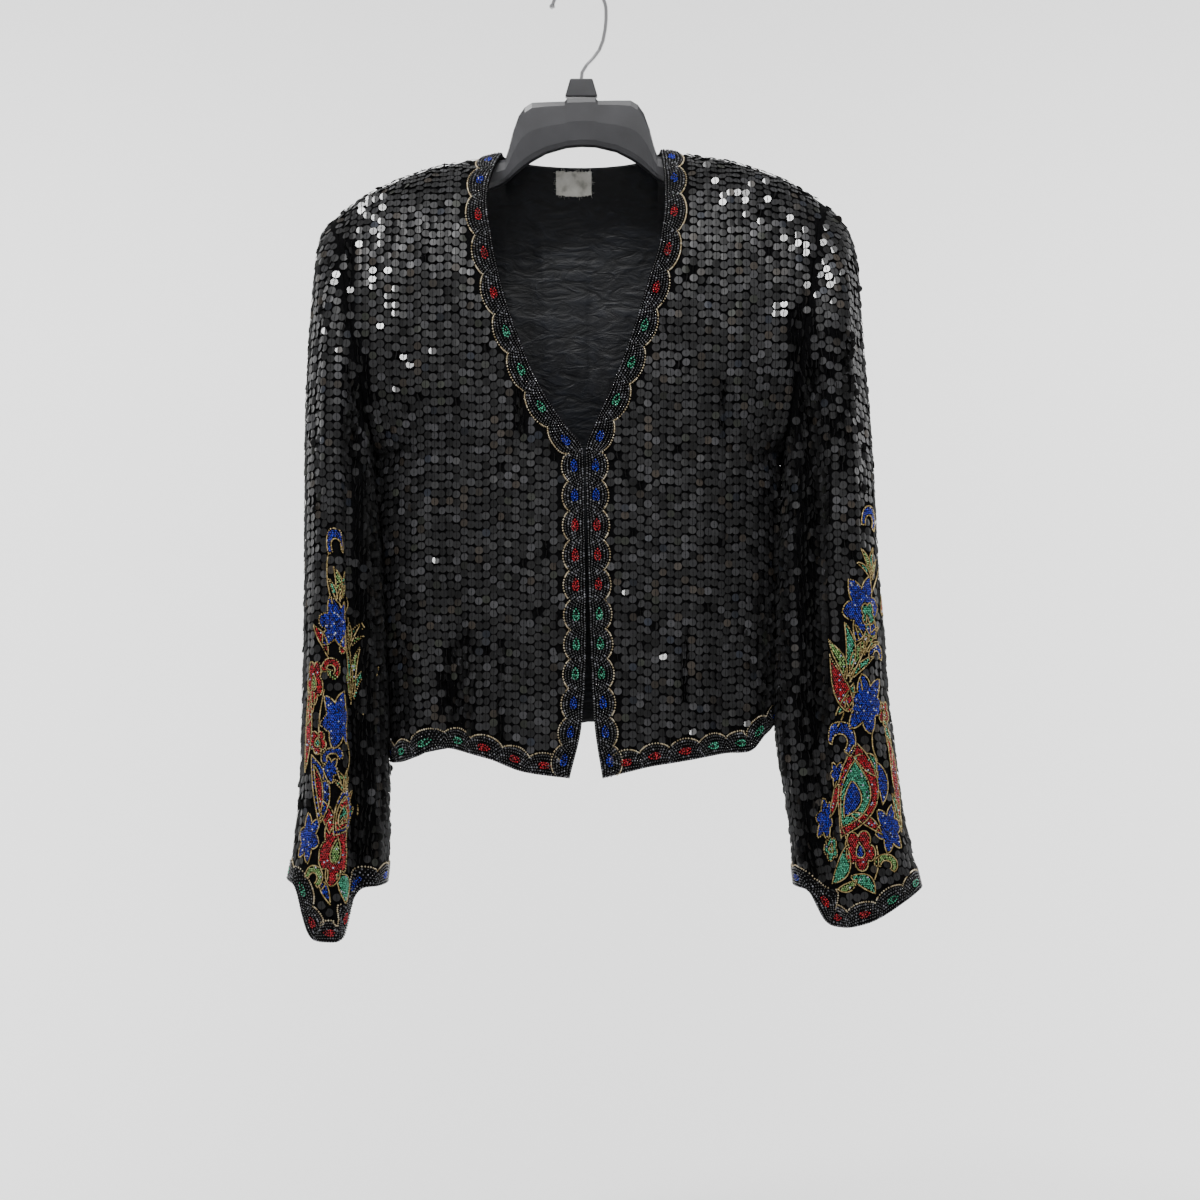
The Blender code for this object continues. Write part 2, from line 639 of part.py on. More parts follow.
def on_grid(surface, row, column):
    """Point and normal of a surface at a row and column that need not be whole; columns may wrap."""
    rows, columns = surface[0].shape[:2]
    i = min(max(int(row), 0), rows - 2)
    j = int(column)
    a, b = row - i, column - j
    mixed = []
    for source in surface:
        low, far = source[i, j % columns], source[i + 1, (j + 1) % columns]
        if b > a:
            beside = source[i, (j + 1) % columns]
            mixed.append(low + (beside - low) * b + (far - beside) * a)
        else:
            above = source[i + 1, j % columns]
            mixed.append(low + (above - low) * a + (far - above) * b)
    return mixed[0], unit(mixed[1])


def rows_within(surface, row, column, step, distance):
    """Row reached from another one after a distance along a column, up or down the surface."""
    while distance > 0:
        here, there = on_grid(surface, row, column)[0], on_grid(surface, row + step, column)[0]
        length = np.linalg.norm(there - here)
        if length > distance:
            return row + step * distance / length
        distance -= length
        row += step
    return row


def scallop_stations(line, start, end):
    """Part indices along a line of points, and the band's width there, so that the scallops turn.

    The line's own points between are kept too, so that the band bends where the cloth does.
    """
    along = length_along(line)
    count = max(1, round((along[-1] - start - end) / SCALLOP_PITCH))
    pitch = (along[-1] - start - end) / count
    phases, rises = columns_of(SCALLOP + [SCALLOP[0]._replace(phase=1.0)], "phase", "rise")
    turns = np.array([start + (n + phase) * pitch for n in range(count) for phase in phases[:-1]])
    bends = along[(along > start + BEND_APART) & (along < along[-1] - end - BEND_APART)]
    clear = [turn for turn in turns[1:] if np.abs(bends - turn).min() > BEND_APART]
    places = np.sort(np.concatenate([[start], clear, bends, [along[-1] - end]]))
    widths = BAND_WIDTH + np.interp((places - start) / pitch % 1, phases, rises)
    indices = np.interp(places, along, np.arange(len(line)))
    return [(float(index), float(width)) for index, width in zip(indices, widths)]


def border(name, surface, lines, finish, wrap=False, gap=BORDER_GAP):
    """Raised band from lines across it, each line the rows and columns of its places on a surface."""
    places = [[on_grid(surface, row, column) for row, column in line] for line in lines]
    grid = np.array([[place[0] for place in line] for line in places]).transpose(1, 0, 2)
    normals = np.array([[place[1] for place in line] for line in places]).transpose(1, 0, 2)
    return wall(name, grid, normals, BORDER_WALL, finish, wrap=wrap, lift=gap + BORDER_WALL)


def front_border(side, surface, finish):
    """Border of a front: along its hem to the corner, then up its free edge to the shoulder."""
    grid = surface[0]
    lines = []
    for column, width in reversed(scallop_stations(grid[0], BAND_WIDTH, 3.0)[1:]):
        lines.append([(rows_within(surface, 0, column, 1, part * width), column) for part in HALVES])
    corner_row = rows_within(surface, 0, 1, 1, BAND_WIDTH)
    lines.append([(part * corner_row, part * BAND_WIDTH / EDGE_BAND) for part in HALVES])
    for row, width in scallop_stations(grid[:, 0], BAND_WIDTH, 0.6)[1:]:
        lines.append([(row, part * width / EDGE_BAND) for part in HALVES])
    return border(f"front_border_{side}", surface, lines, finish)


def back_hem_border(surface, finish):
    """Border along the back's hem."""
    lines = []
    for column, width in scallop_stations(surface[0][0], 3.0, 3.0):
        lines.append([(0, column), (rows_within(surface, 0, column, 1, width), column)])
    return border("back_hem_border", surface, lines, finish)


def back_neck_border(surface, finish):
    """Border round the back neck, turning outwards along the shoulders at its ends."""
    grid = surface[0]
    last, middle = len(grid) - 1, grid.shape[1] // 2
    first = middle - BACK_NECK_COLUMNS
    neck = grid[-1, first : middle + BACK_NECK_COLUMNS + 1]
    shoulder_step = np.linalg.norm(grid[-1, first] - grid[-1, first - 1])
    lines = []
    for place, width in scallop_stations(neck, 2.5, 2.5):
        turn = (place / BACK_NECK_COLUMNS - 1) * NECK_BAND_TURN
        line = []
        for part in np.linspace(0, width, NECK_BAND_LINES):
            column = first + place + part * math.sin(turn) / shoulder_step
            line.append((rows_within(surface, last, column, -1, part * math.cos(turn)), column))
        lines.append(line)
    return border("back_neck_border", surface, lines, finish, gap=NECK_BAND_GAP)


def cuff_border(side, surface, finish):
    """Border round a cuff, its scallops pointing up the sleeve."""
    grid = surface[0]
    last = len(grid) - 1
    ring = np.concatenate([grid[-1], grid[-1, :1]])
    lines = []
    for column, width in scallop_stations(ring, 0.0, 0.0)[:-1]:
        lines.append([(last - part * width / EDGE_BAND, column) for part in HALVES])
    return border(f"cuff_border_{side}", surface, lines, finish, wrap=True)


def tree_of(made):
    """Search tree of an object's faces, in metres."""
    corners = [vertex.co.copy() for vertex in made.data.vertices]
    return BVHTree.FromPolygons(corners, [tuple(face.vertices) for face in made.data.polygons])


def care_label(lining, finish):
    """Bare label lying on the lining below the back neck."""
    tree = tree_of(lining)
    rows, columns = 5, 7
    grid = np.empty((rows, columns, 3))
    for i in range(rows):
        for j in range(columns):
            x = LABEL_MIDDLE_X + LABEL_WIDTH * (j / (columns - 1) - 0.5)
            z = LABEL_TOP - LABEL_DROP * i / (rows - 1)
            hit = tree.ray_cast(Vector((x * MM, 0.0, z * MM)), Vector((0, 1, 0)))[0]
            grid[i, j] = (x, hit.y / MM - LABEL_GAP, z)
    normals = np.zeros_like(grid)
    normals[..., 1] = 1.0
    return wall("care_label", grid, normals, LABEL_WALL, finish)


def roof_over(trees, x, y, from_height):
    """Lowest cloth above a place inside the shoulders, felt on both sides of the place."""
    lowest = math.inf
    for tree in trees:
        for beside in (-SEAM_FEEL, SEAM_FEEL):
            start = Vector((x * MM, (y + beside) * MM, from_height * MM))
            hit = tree.ray_cast(start, Vector((0, 0, 1)))[0]
            if hit is not None:
                lowest = min(lowest, hit.z / MM)
    return lowest


def hanger(cloth, finish):
    """Moulded plate with two arms, its arms' tops shaped to the inside of the shoulders."""
    trees = [tree_of(made) for made in cloth]
    stations = [(-1, row) for row in reversed(HANGER[1:])] + [(1, row) for row in HANGER]
    points = []
    for sign, row in stations:
        x = STEM_X + sign * row.out
        tilt = math.tan(HANGER_TILT) * sign * row.out
        middle, half = (row.top + row.bottom) / 2 + tilt, (row.top - row.bottom) / 2
        for n in range(HANGER_POINTS):
            angle = 2 * math.pi * n / HANGER_POINTS
            power = 2 / row.squareness
            y = row.half_depth * math.copysign(abs(math.cos(angle)) ** power, math.cos(angle))
            z = middle + half * math.copysign(abs(math.sin(angle)) ** power, math.sin(angle))
            if n <= HANGER_POINTS // 2:
                z = min(z, roof_over(trees, x, y, row.bottom + tilt) - ARM_GAP)
            points.append((x, y, z))
    count = HANGER_POINTS
    faces = [list(range(count)), list(range(len(points) - count, len(points)))]
    for i in range(len(stations) - 1):
        for j in range(count):
            a, b = i * count + j, i * count + (j + 1) % count
            faces.append((a, b, b + count, a + count))
    return add_object("hanger", points, faces, finish)


def size_tab(finish):
    """Small tapered marker standing on the hanger's plate."""
    ends = ((-TAB_HALF_BOTTOM, TAB_BOTTOM), (TAB_HALF_BOTTOM, TAB_BOTTOM))
    ends += ((TAB_HALF_TOP, TAB_TOP), (-TAB_HALF_TOP, TAB_TOP))
    points = [(STEM_X + x, y, z) for y in (-TAB_HALF_DEPTH, TAB_HALF_DEPTH) for x, z in ends]
    faces = [(0, 1, 2, 3), (7, 6, 5, 4), (0, 4, 5, 1), (1, 5, 6, 2), (2, 6, 7, 3), (3, 7, 4, 0)]
    made = add_object("size_tab", points, faces, finish)
    bevel = made.modifiers.new("rounded edges", "BEVEL")
    bevel.width = TAB_ROUND * MM
    bevel.segments = 2
    return made


def hook(finish):
    """Wire hook: one bent rod from the tab over the top, with a ball on its tip."""
    line = [(point.x, point.z) for point in HOOK_STEM]
    centre = WIRE_RADIUS - HOOK_RADIUS
    for n in range(HOOK_STEPS + 1):
        angle = HOOK_STEP * n
        line.append((HOOK_RADIUS * math.cos(angle), centre + HOOK_RADIUS * math.sin(angle)))
    run = unit(np.gradient(np.array(line), axis=0))
    rings = [(place, heading, WIRE_RADIUS) for place, heading in zip(np.array(line), run)]
    start = math.asin(WIRE_RADIUS / HOOK_BALL)
    for n in range(1, BALL_RINGS + 1):
        turn = start + (BALL_END - start) * n / BALL_RINGS
        place = rings[len(line) - 1][0] + run[-1] * HOOK_BALL * (math.cos(start) - math.cos(turn))
        rings.append((place, run[-1], HOOK_BALL * math.sin(turn)))
    points, faces = [], []
    for place, heading, radius in rings:
        for k in range(WIRE_POINTS):
            angle = 2 * math.pi * k / WIRE_POINTS
            out = radius * math.cos(angle)
            x, z = place[0] - heading[1] * out, place[1] + heading[0] * out
            points.append((x, radius * math.sin(angle), z))
    for i in range(len(rings) - 1):
        for j in range(WIRE_POINTS):
            a, b = i * WIRE_POINTS + j, i * WIRE_POINTS + (j + 1) % WIRE_POINTS
            faces.append((a, b, b + WIRE_POINTS, a + WIRE_POINTS))
    faces.append(list(range(WIRE_POINTS)))
    faces.append(list(range(len(points) - WIRE_POINTS, len(points))))
    return add_object("hook", points, faces, finish)


def finish_for(node, kind):
    """A piece's own material of a kind of cloth, beadwork or plastic."""
    kinds = {
        "sequined cloth": ((0.02, 0.02, 0.022), 0.45),
        "lining satin": ((0.012, 0.014, 0.024), 0.4),
        "beaded border": ((0.015, 0.015, 0.016), 0.3),
        "label tape": ((0.8, 0.79, 0.76), 0.8),
        "hanger plastic": ((0.012, 0.012, 0.013), 0.35),
    }
    colour, roughness = kinds[kind]
    return material(f"{node} {kind}", colour, roughness)


def main():
    for old in list(bpy.data.objects):
        bpy.data.objects.remove(old)

    inside = []
    for side in SIDES:
        surface = panel(side, "front")
        shaped = trimmed(surface[0], SEAM_GAP / 2, ("top", "last"))
        cloth = finish_for(f"front_{side}", "sequined cloth")
        inside.append(wall(f"front_{side}", shaped, surface[1], WALL, cloth))
        front_border(side, surface, finish_for(f"front_border_{side}", "beaded border"))

    surface = both_halves(panel("left", "back"), panel("right", "back"))
    shaped = trimmed(surface[0], SEAM_GAP / 2, ("top", "last", "first"))
    wall("back", shaped, surface[1], WALL, finish_for("back", "sequined cloth"))
    satin = finish_for("back_lining", "lining satin")
    lining = wall("back_lining", shaped, surface[1], LINING_WALL, satin, lift=-WALL - SEAM_GAP)
    back_hem_border(surface, finish_for("back_hem_border", "beaded border"))
    back_neck_border(surface, finish_for("back_neck_border", "beaded border"))
    care_label(lining, finish_for("care_label", "label tape"))

    for side in SIDES:
        *surface, turns = sleeve(side)
        sleeve_pieces(side, surface, turns, lambda node: finish_for(node, "sequined cloth"))
        cuff_border(side, surface, finish_for(f"cuff_border_{side}", "beaded border"))

    hanger(inside + [lining], finish_for("hanger", "hanger plastic"))
    size_tab(finish_for("size_tab", "hanger plastic"))
    hook(material("hook chrome", (0.75, 0.75, 0.74), 0.15, metallic=1.0))


main()
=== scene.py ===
"""Look of a cropped evening jacket: sequined cloth, beaded scalloped borders, beaded flowers on the sleeves
and a crinkled satin lining, on a moulded hanger.

The cloth is worked out from the same named sizes as the jacket's solids, in millimetres, and becomes
metres when a mesh is made. The front faces -Y, +Z is up and +X is the wearer's left.
"""

import math
from collections import namedtuple
from functools import lru_cache

import bpy
import numpy as np
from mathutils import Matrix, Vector
from mathutils.bvhtree import BVHTree
from mathutils.kdtree import KDTree


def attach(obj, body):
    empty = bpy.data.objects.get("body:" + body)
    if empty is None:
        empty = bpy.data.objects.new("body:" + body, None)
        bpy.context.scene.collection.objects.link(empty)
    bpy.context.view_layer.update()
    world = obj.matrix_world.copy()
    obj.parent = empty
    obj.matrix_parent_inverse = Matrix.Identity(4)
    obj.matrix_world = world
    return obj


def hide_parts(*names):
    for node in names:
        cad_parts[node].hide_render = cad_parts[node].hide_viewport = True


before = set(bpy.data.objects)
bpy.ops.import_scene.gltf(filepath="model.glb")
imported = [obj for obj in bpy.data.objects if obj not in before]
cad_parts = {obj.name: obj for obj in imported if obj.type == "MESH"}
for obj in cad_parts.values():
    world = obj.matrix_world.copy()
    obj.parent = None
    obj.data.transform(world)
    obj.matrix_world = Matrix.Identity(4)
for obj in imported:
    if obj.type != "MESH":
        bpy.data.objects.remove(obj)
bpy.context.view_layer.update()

bl_info = {
    "name": "Beaded evening jacket",
    "version": (1, 0, 0),
    "blender": (4, 5, 0),
    "location": "3D View > Sidebar > Jacket",
    "description": "Makes the cloth, sequins, beadwork and lining of an evening jacket on its hanger",
    "category": "Object",
}

MM = 0.001
METRE = 1000
# A width in metres as a radius in millimetres
RADIUS = 500

# Gap at the seams, and which way each side lies
SEAM_GAP = 0.3
SIDES = {"left": 1, "right": -1}

# Hanger: the stem stands beside the middle of the hook, and one arm hangs a little lower
STEM_X = 2.0
HANGER_TILT = math.radians(1.3)

# Shoulder line over the hanger's arms, before the tilt
ShoulderRow = namedtuple("ShoulderRow", "out height")
SHOULDER_LINE = [ShoulderRow(*row) for row in (
    (0, -141.0),
    (60, -141.0),
    (88, -146.0),
    (125, -153.0),
    (147, -160.0),
    (165, -167.0),
    (181, -174.5),
    (191, -181.0),
    (206, -192.0),
)]

# Armhole: an upright ellipse from the shoulder tip to the armpit
ARMHOLE_TOP_X = 203.0
ARMPIT_X = 171.0
ARMPIT_HEIGHT = -398.0
ARMHOLE_FRONT = 57.0
ARMHOLE_BACK = 52.0
BODY_FRONT = 62.0
BODY_BACK = 58.0
ARCH_DROP = 104.0

# Free edge of each front, from the hem (rise 0) past the point of the V (rise 1) to the shoulder (rise 2)
EdgeRow = namedtuple("EdgeRow", "rise height left right forward")
FRONT_EDGE = [EdgeRow(*row) for row in (
    (0.00, -668, 19.8, -7.0, 63.0),
    (0.18, -623, 13.2, 3.0, 62.5),
    (0.45, -553, 9.7, 6.6, 62.0),
    (0.70, -480, 7.6, 5.8, 62.0),
    (1.00, -400, 5.9, 4.3, 61.5),
    (1.12, -376, 14.2, -12.3, 62.0),
    (1.27, -345, 28.0, -32.0, 62.0),
    (1.42, -308, 42.0, -48.0, 61.5),
    (1.57, -264, 56.0, -62.5, 60.0),
    (1.70, -222, 68.0, -71.5, 56.0),
    (1.80, -190, 71.5, -75.5, 47.0),
    (1.90, -162, 71.0, -71.0, 28.0),
    (2.00, -141, 69.0, -65.0, 0.0),
)]

# Middle of the back, and how high its ridge would stand above the shoulder line at the neck
MiddleRow = namedtuple("MiddleRow", "rise height across back")
BACK_MIDDLE = [MiddleRow(*row) for row in (
    (0.00, -629, 7.0, 58.0),
    (0.50, -515, 6.0, 60.0),
    (1.00, -402, 5.0, 59.0),
    (2.00, -146, 2.0, 42.0),
)]
BACK_NECK_RIDGE = 26.0
BACK_NECK_COLUMNS = 4

# Lower ends of the side seams
SideRow = namedtuple("SideRow", "height across back")
SIDE_HEM = {"left": SideRow(-628, 165.0, 6.0), "right": SideRow(-659, 159.0, 6.0)}
SIDE_ROUNDNESS = 2.4

# Hem of each front: how far it hangs off the line from the front corner to the side seam
HemRow = namedtuple("HemRow", "share left right")
HEM_BOW = [HemRow(*row) for row in (
    (0.00, 0.0, 0.0),
    (0.12, -1.5, 3.0),
    (0.25, -4.6, 12.0),
    (0.45, -9.0, 17.0),
    (0.60, -13.5, 8.5),
    (0.75, -4.0, 2.0),
    (0.88, 0.0, 0.0),
    (1.00, 0.0, 0.0),
)]

# Hanging folds of the body, each a soft trough (or, with a negative depth, a ridge) that fades upwards
Fold = namedtuple("Fold", "face side across half_width depth top")
BODY_FOLDS = [Fold(*row) for row in (
    ("front", "right", -104, 16, 13.0, -420),
    ("front", "right", -136, 13, -5.0, -430),
    ("front", "right", -30, 16, -2.5, -470),
    ("front", "left", 122, 15, 6.0, -430),
    ("front", "left", 56, 15, 3.5, -450),
    ("back", "left", 40, 17, 8.0, -330),
    ("back", "left", 76, 15, -5.0, -300),
    ("back", "left", 112, 16, 9.0, -330),
    ("back", "right", -34, 16, 7.0, -350),
    ("back", "right", -72, 15, -5.0, -300),
    ("back", "right", -106, 17, 10.0, -320),
)]

# Sleeves: each row is a ring from its outer point to its inner one, turning from the upright armhole,
# which is the first ring, to the level cuff. forward and back are its depths from between the points.
RingRow = namedtuple("RingRow", "outer_x outer_z inner_x inner_z middle forward back fold")
SLEEVES = {
    "left": [RingRow(*row) for row in (
        (214, -192, 172.0, -401, 0, 57, 52, 0.1),
        (224, -204, 172.2, -404, -1, 57, 51, 0.3),
        (231, -219, 172.4, -408, -2, 56, 51, 0.5),
        (235, -242, 172.5, -413, -3, 56, 50, 0.7),
        (237, -272, 172.4, -419, -4, 55, 49, 0.8),
        (240, -315, 172.3, -428, -5, 54, 48, 0.9),
        (244, -360, 172.2, -440, -7, 53, 47, 1.0),
        (247, -405, 172.0, -458, -9, 52, 46, 1.0),
        (249, -450, 170.2, -482, -11, 51, 46, 1.0),
        (251.5, -500, 168.8, -516, -12, 50, 45, 1.0),
        (256, -550, 167.4, -558, -13, 50, 45, 1.0),
        (259, -600, 166.8, -602, -14, 49, 45, 1.0),
        (265, -645, 169.0, -644, -14, 48, 45, 0.95),
        (270, -685, 174.5, -684, -14, 46, 45, 0.9),
        (277, -722, 179, -720, -14, 44, 45, 0.8),
        (283, -746, 181, -744, -13, 43, 45, 0.7),
        (287, -762, 183, -762, -12, 43, 45, 0.6),
    )],
    "right": [RingRow(*row) for row in (
        (-210, -202, -171.9, -401, 0, 57, 52, 0.1),
        (-217, -213, -172.0, -404, -1, 57, 52, 0.3),
        (-220.5, -228, -172.0, -408, -2, 57, 51, 0.5),
        (-222.5, -250, -171.8, -413, -3, 57, 51, 0.7),
        (-225, -280, -171.6, -420, -4, 56, 51, 0.8),
        (-227.5, -320, -171.4, -429, -5, 56, 50, 0.9),
        (-229, -362, -171.0, -441, -7, 55, 50, 1.0),
        (-229.5, -405, -170.4, -459, -9, 54, 49, 1.0),
        (-229.5, -450, -168.6, -482, -11, 53, 49, 1.0),
        (-229.5, -500, -166.5, -516, -12, 52, 48, 1.0),
        (-230, -550, -164.5, -558, -13, 52, 48, 1.0),
        (-231, -600, -162.7, -602, -14, 52, 47, 1.0),
        (-232, -645, -161.8, -644, -15, 51, 46, 1.0),
        (-234, -685, -160.6, -684, -15, 50, 46, 0.95),
        (-238, -722, -160.8, -720, -14, 48, 46, 0.9),
        (-241, -745, -161.8, -744, -13, 47, 46, 0.85),
        (-243.5, -756, -163.5, -760, -12, 47, 46, 0.8),
    )],
}
RING_SQUARENESS = 2.25

# Long troughs down each sleeve. turn is the place round the ring in degrees: 0 outer, -90 front.
SleeveFold = namedtuple("SleeveFold", "side turn half_turn depth first")
SLEEVE_FOLDS = [SleeveFold(*row) for row in (
    ("left", -117, 17, 18.0, 0.0),
    ("left", 62, 15, 8.0, 6.0),
    ("left", 118, 15, 7.0, 4.0),
    ("right", -119, 16, 15.0, 0.0),
    ("right", 66, 15, 7.0, 5.0),
    ("right", 122, 15, 8.0, 4.0),
)]
# How far the cuff's front hangs below its level ring
CuffDrop = namedtuple("CuffDrop", "turn inward inward_power outward outward_power drop")
CUFF_DROP = {"left": CuffDrop(-110, 27, 4, 54, 2, 31.0), "right": CuffDrop(-86, 34, 4, 34, 4, 45.0)}
CUFF_RISE_RINGS = 5.0

# Beaded border: a band with a scalloped inner edge along every free edge
BAND_WIDTH = 11.5
SCALLOP_RISE = 6.0

# Creases of the fronts and back: a soft trough (or, with a negative depth, a ridge) from top to bottom
Crease = namedtuple("Crease", "face side across top bottom lean half_width depth")
CREASES = [Crease(*row) for row in (
    ("front", "right", -48, -338, -392, 0.05, 2.6, 2.4),
    ("front", "right", -80, -300, -600, -0.02, 15.0, 1.6),
    ("front", "right", -140, -250, -420, 0.10, 9.0, 2.2),
    ("front", "right", -118, -460, -640, 0.03, 7.0, 2.0),
    ("front", "left", 118, -330, -385, -0.05, 2.6, 2.4),
    ("front", "left", 88, -545, -612, 0.02, 2.8, 2.6),
    ("front", "left", 84, -300, -560, 0.02, 14.0, 1.6),
    ("front", "left", 148, -270, -430, -0.12, 9.0, 2.2),
    ("front", "left", 34, -420, -640, 0.02, 10.0, 1.4),
    ("back", "right", -58, -260, -480, 0.04, 12.0, 1.8),
    ("back", "right", -132, -240, -450, 0.10, 9.0, 2.2),
    ("back", "left", 26, -300, -560, -0.03, 12.0, 1.6),
    ("back", "left", 94, -330, -600, 0.02, 9.0, 2.0),
    ("back", "left", 144, -250, -440, -0.10, 9.0, 2.2),
)]
# Creases of the sleeves: turn is the place round the ring, drift its change over each 100 mm of drop
SleeveCrease = namedtuple("SleeveCrease", "side turn top bottom drift half_turn depth")
SLEEVE_CREASES = [SleeveCrease(*row) for row in (
    ("right", -52, -250, -470, -6, 9, 1.8),
    ("right", -78, -420, -700, 3, 8, 1.6),
    ("right", -150, -440, -720, -2, 9, 2.2),
    ("right", 48, -280, -520, 8, 10, 1.8),
    ("right", 100, -380, -700, -4, 9, 2.0),
    ("right", 155, -450, -690, 0, 10, 1.8),
    ("right", 180, -440, -668, 0, 34, -1.5),
    ("left", 180, -440, -668, 0, 34, -1.7),
    ("left", -40, -260, -480, -5, 10, 1.8),
    ("left", -84, -400, -690, 4, 8, 1.8),
    ("left", -148, -450, -700, 2, 9, 2.0),
    ("left", 38, -260, -500, 7, 10, 1.8),
    ("left", 92, -400, -720, -3, 9, 2.0),
    ("left", 150, -430, -700, 2, 10, 1.8),
)]
# Creases of the lining below the back neck: from one place to another across the satin
SatinCrease = namedtuple("SatinCrease", "from_x from_z to_x to_z half_width depth")
SATIN_CREASES = [SatinCrease(*row) for row in (
    (-6, -312, 26, -352, 2.4, 3.0),
    (-62, -172, -14, -180, 2.2, 1.6),
    (-60, -181, -6, -196, 2.6, 2.0),
    (8, -186, 58, -178, 2.4, 1.8),
    (-54, -206, 20, -203, 2.8, 1.6),
    (-30, -236, 46, -240, 2.8, 1.4),
    (-46, -262, 8, -258, 2.6, 1.4),
    (-28, -286, 40, -280, 2.6, 1.4),
    (12, -200, 10, -330, 5.0, -1.6),
    (-34, -196, -22, -330, 6.0, 1.6),
)]

# Mesh steps of the finer cloth
BODY_COLUMNS = 11
FINE_COLUMNS = 76
FINE_LOW_ROWS = 62
FINE_HIGH_ROWS = 50
FINE_RINGS = 130
FINE_TURNS = 120
CLOTH_WALL = 0.9
SATIN_GAP = 2.3

# How the photograph was taken: pixels across the object, and the camera's place
PHOTO_MIDDLE = 600.0
PIXEL = 0.85
CAMERA_X = 17.85
CAMERA_Z = -521.9
CAMERA_AWAY = 1700.0
LENS = 60.0
SENSOR = 36.0

# Where the photo's sequins flash in the light, and how many of them do
Zone = namedtuple("Zone", "left top right bottom share")
FLASH_ZONES = [Zone(*row) for row in (
    (358, 196, 384, 262, 0.42),
    (368, 262, 388, 290, 0.55),
    (380, 285, 398, 335, 0.32),
    (332, 262, 352, 300, 0.30),
    (322, 255, 348, 350, 0.10),
    (378, 330, 440, 372, 0.10),
    (352, 388, 420, 402, 0.16),
    (390, 425, 450, 445, 0.10),
    (352, 425, 372, 445, 0.25),
    (712, 188, 740, 208, 0.34),
    (742, 180, 775, 215, 0.16),
    (780, 205, 832, 250, 0.26),
    (800, 250, 852, 305, 0.30),
    (838, 275, 868, 345, 0.22),
    (775, 300, 795, 320, 0.35),
    (770, 425, 795, 445, 0.30),
    (640, 700, 760, 735, 0.012),
)]
STRAY_FLASH = 0.003

# Where the sequins stand on edge, so that mostly thread shows; there their tint is also darkened as painted
# shade
THREAD_ZONES = [Zone(*row) for row in (
    (440, 630, 476, 748, 0.55),
    (352, 330, 372, 480, 0.34),
    (353, 480, 382, 885, 0.86),
    (342, 240, 353, 460, 0.50),
    (814, 330, 852, 470, 0.40),
    (790, 300, 814, 480, 0.66),
    (796, 470, 830, 740, 0.86),
    (772, 470, 790, 880, 0.45),
    (800, 740, 818, 880, 0.60),
    (756, 600, 772, 740, 0.55),
    (514, 385, 524, 432, 0.80),
    (718, 372, 727, 432, 0.80),
    (680, 636, 690, 702, 0.80),
    (496, 640, 508, 740, 0.35),
    (590, 600, 612, 735, 0.18),
)]
STRAY_THREAD = 0.015
BEAD_CLEARANCE = 2.7

# Shades of the sequins: most are neutral, a few lean brown, olive or blue
SEQUIN_SHADES = ("#252526", "#1a1a1b", "#353537", "#302b26", "#272924", "#21242b")
SHADE_SPREAD = (0.45, 1.6)
# Sequins that stand on edge are painted darker by this share: painted shade of the folds they stand in
ON_EDGE_PAINTED_SHADE = 0.4
DISC_CORNERS = 12
SEQUIN_SHARES = (0.46, 0.28, 0.16, 0.05, 0.03, 0.02)
FLASH_LAMP = (-500.0, -1100.0, 1000.0)
FLASH_SPREAD = 0.02

# Number of scallops in each stretch of border, counted from the hem's corner up and sideways
CENTRE_SCALLOPS = 11
NECK_SCALLOPS = 9
HEM_SCALLOPS = 7
BACK_HEM_SCALLOPS = 14
BACK_NECK_SCALLOPS = 6
CUFF_SCALLOPS = 12
BORDER_COLOURS = ("blue", "red", "green")
BEAD_ROWS = 7
# Share of the border's black beads made grey: painted highlights standing in for the light that black glass
# beads catch
PAINTED_HIGHLIGHT_BEADS = 0.3
# Share of the flower beads made pale: painted glints standing in for the light that coloured glass beads
# catch
PAINTED_GLINT_SHARE = 0.035
CHAMPAGNE_WIDTH = 1.9
BORDER_LIFT = 1.0
CORNER_START = 9.0
CURL_PLACE = 0.47
BEAD_GAP = 1.25
FLOWER_GAP = 1.1

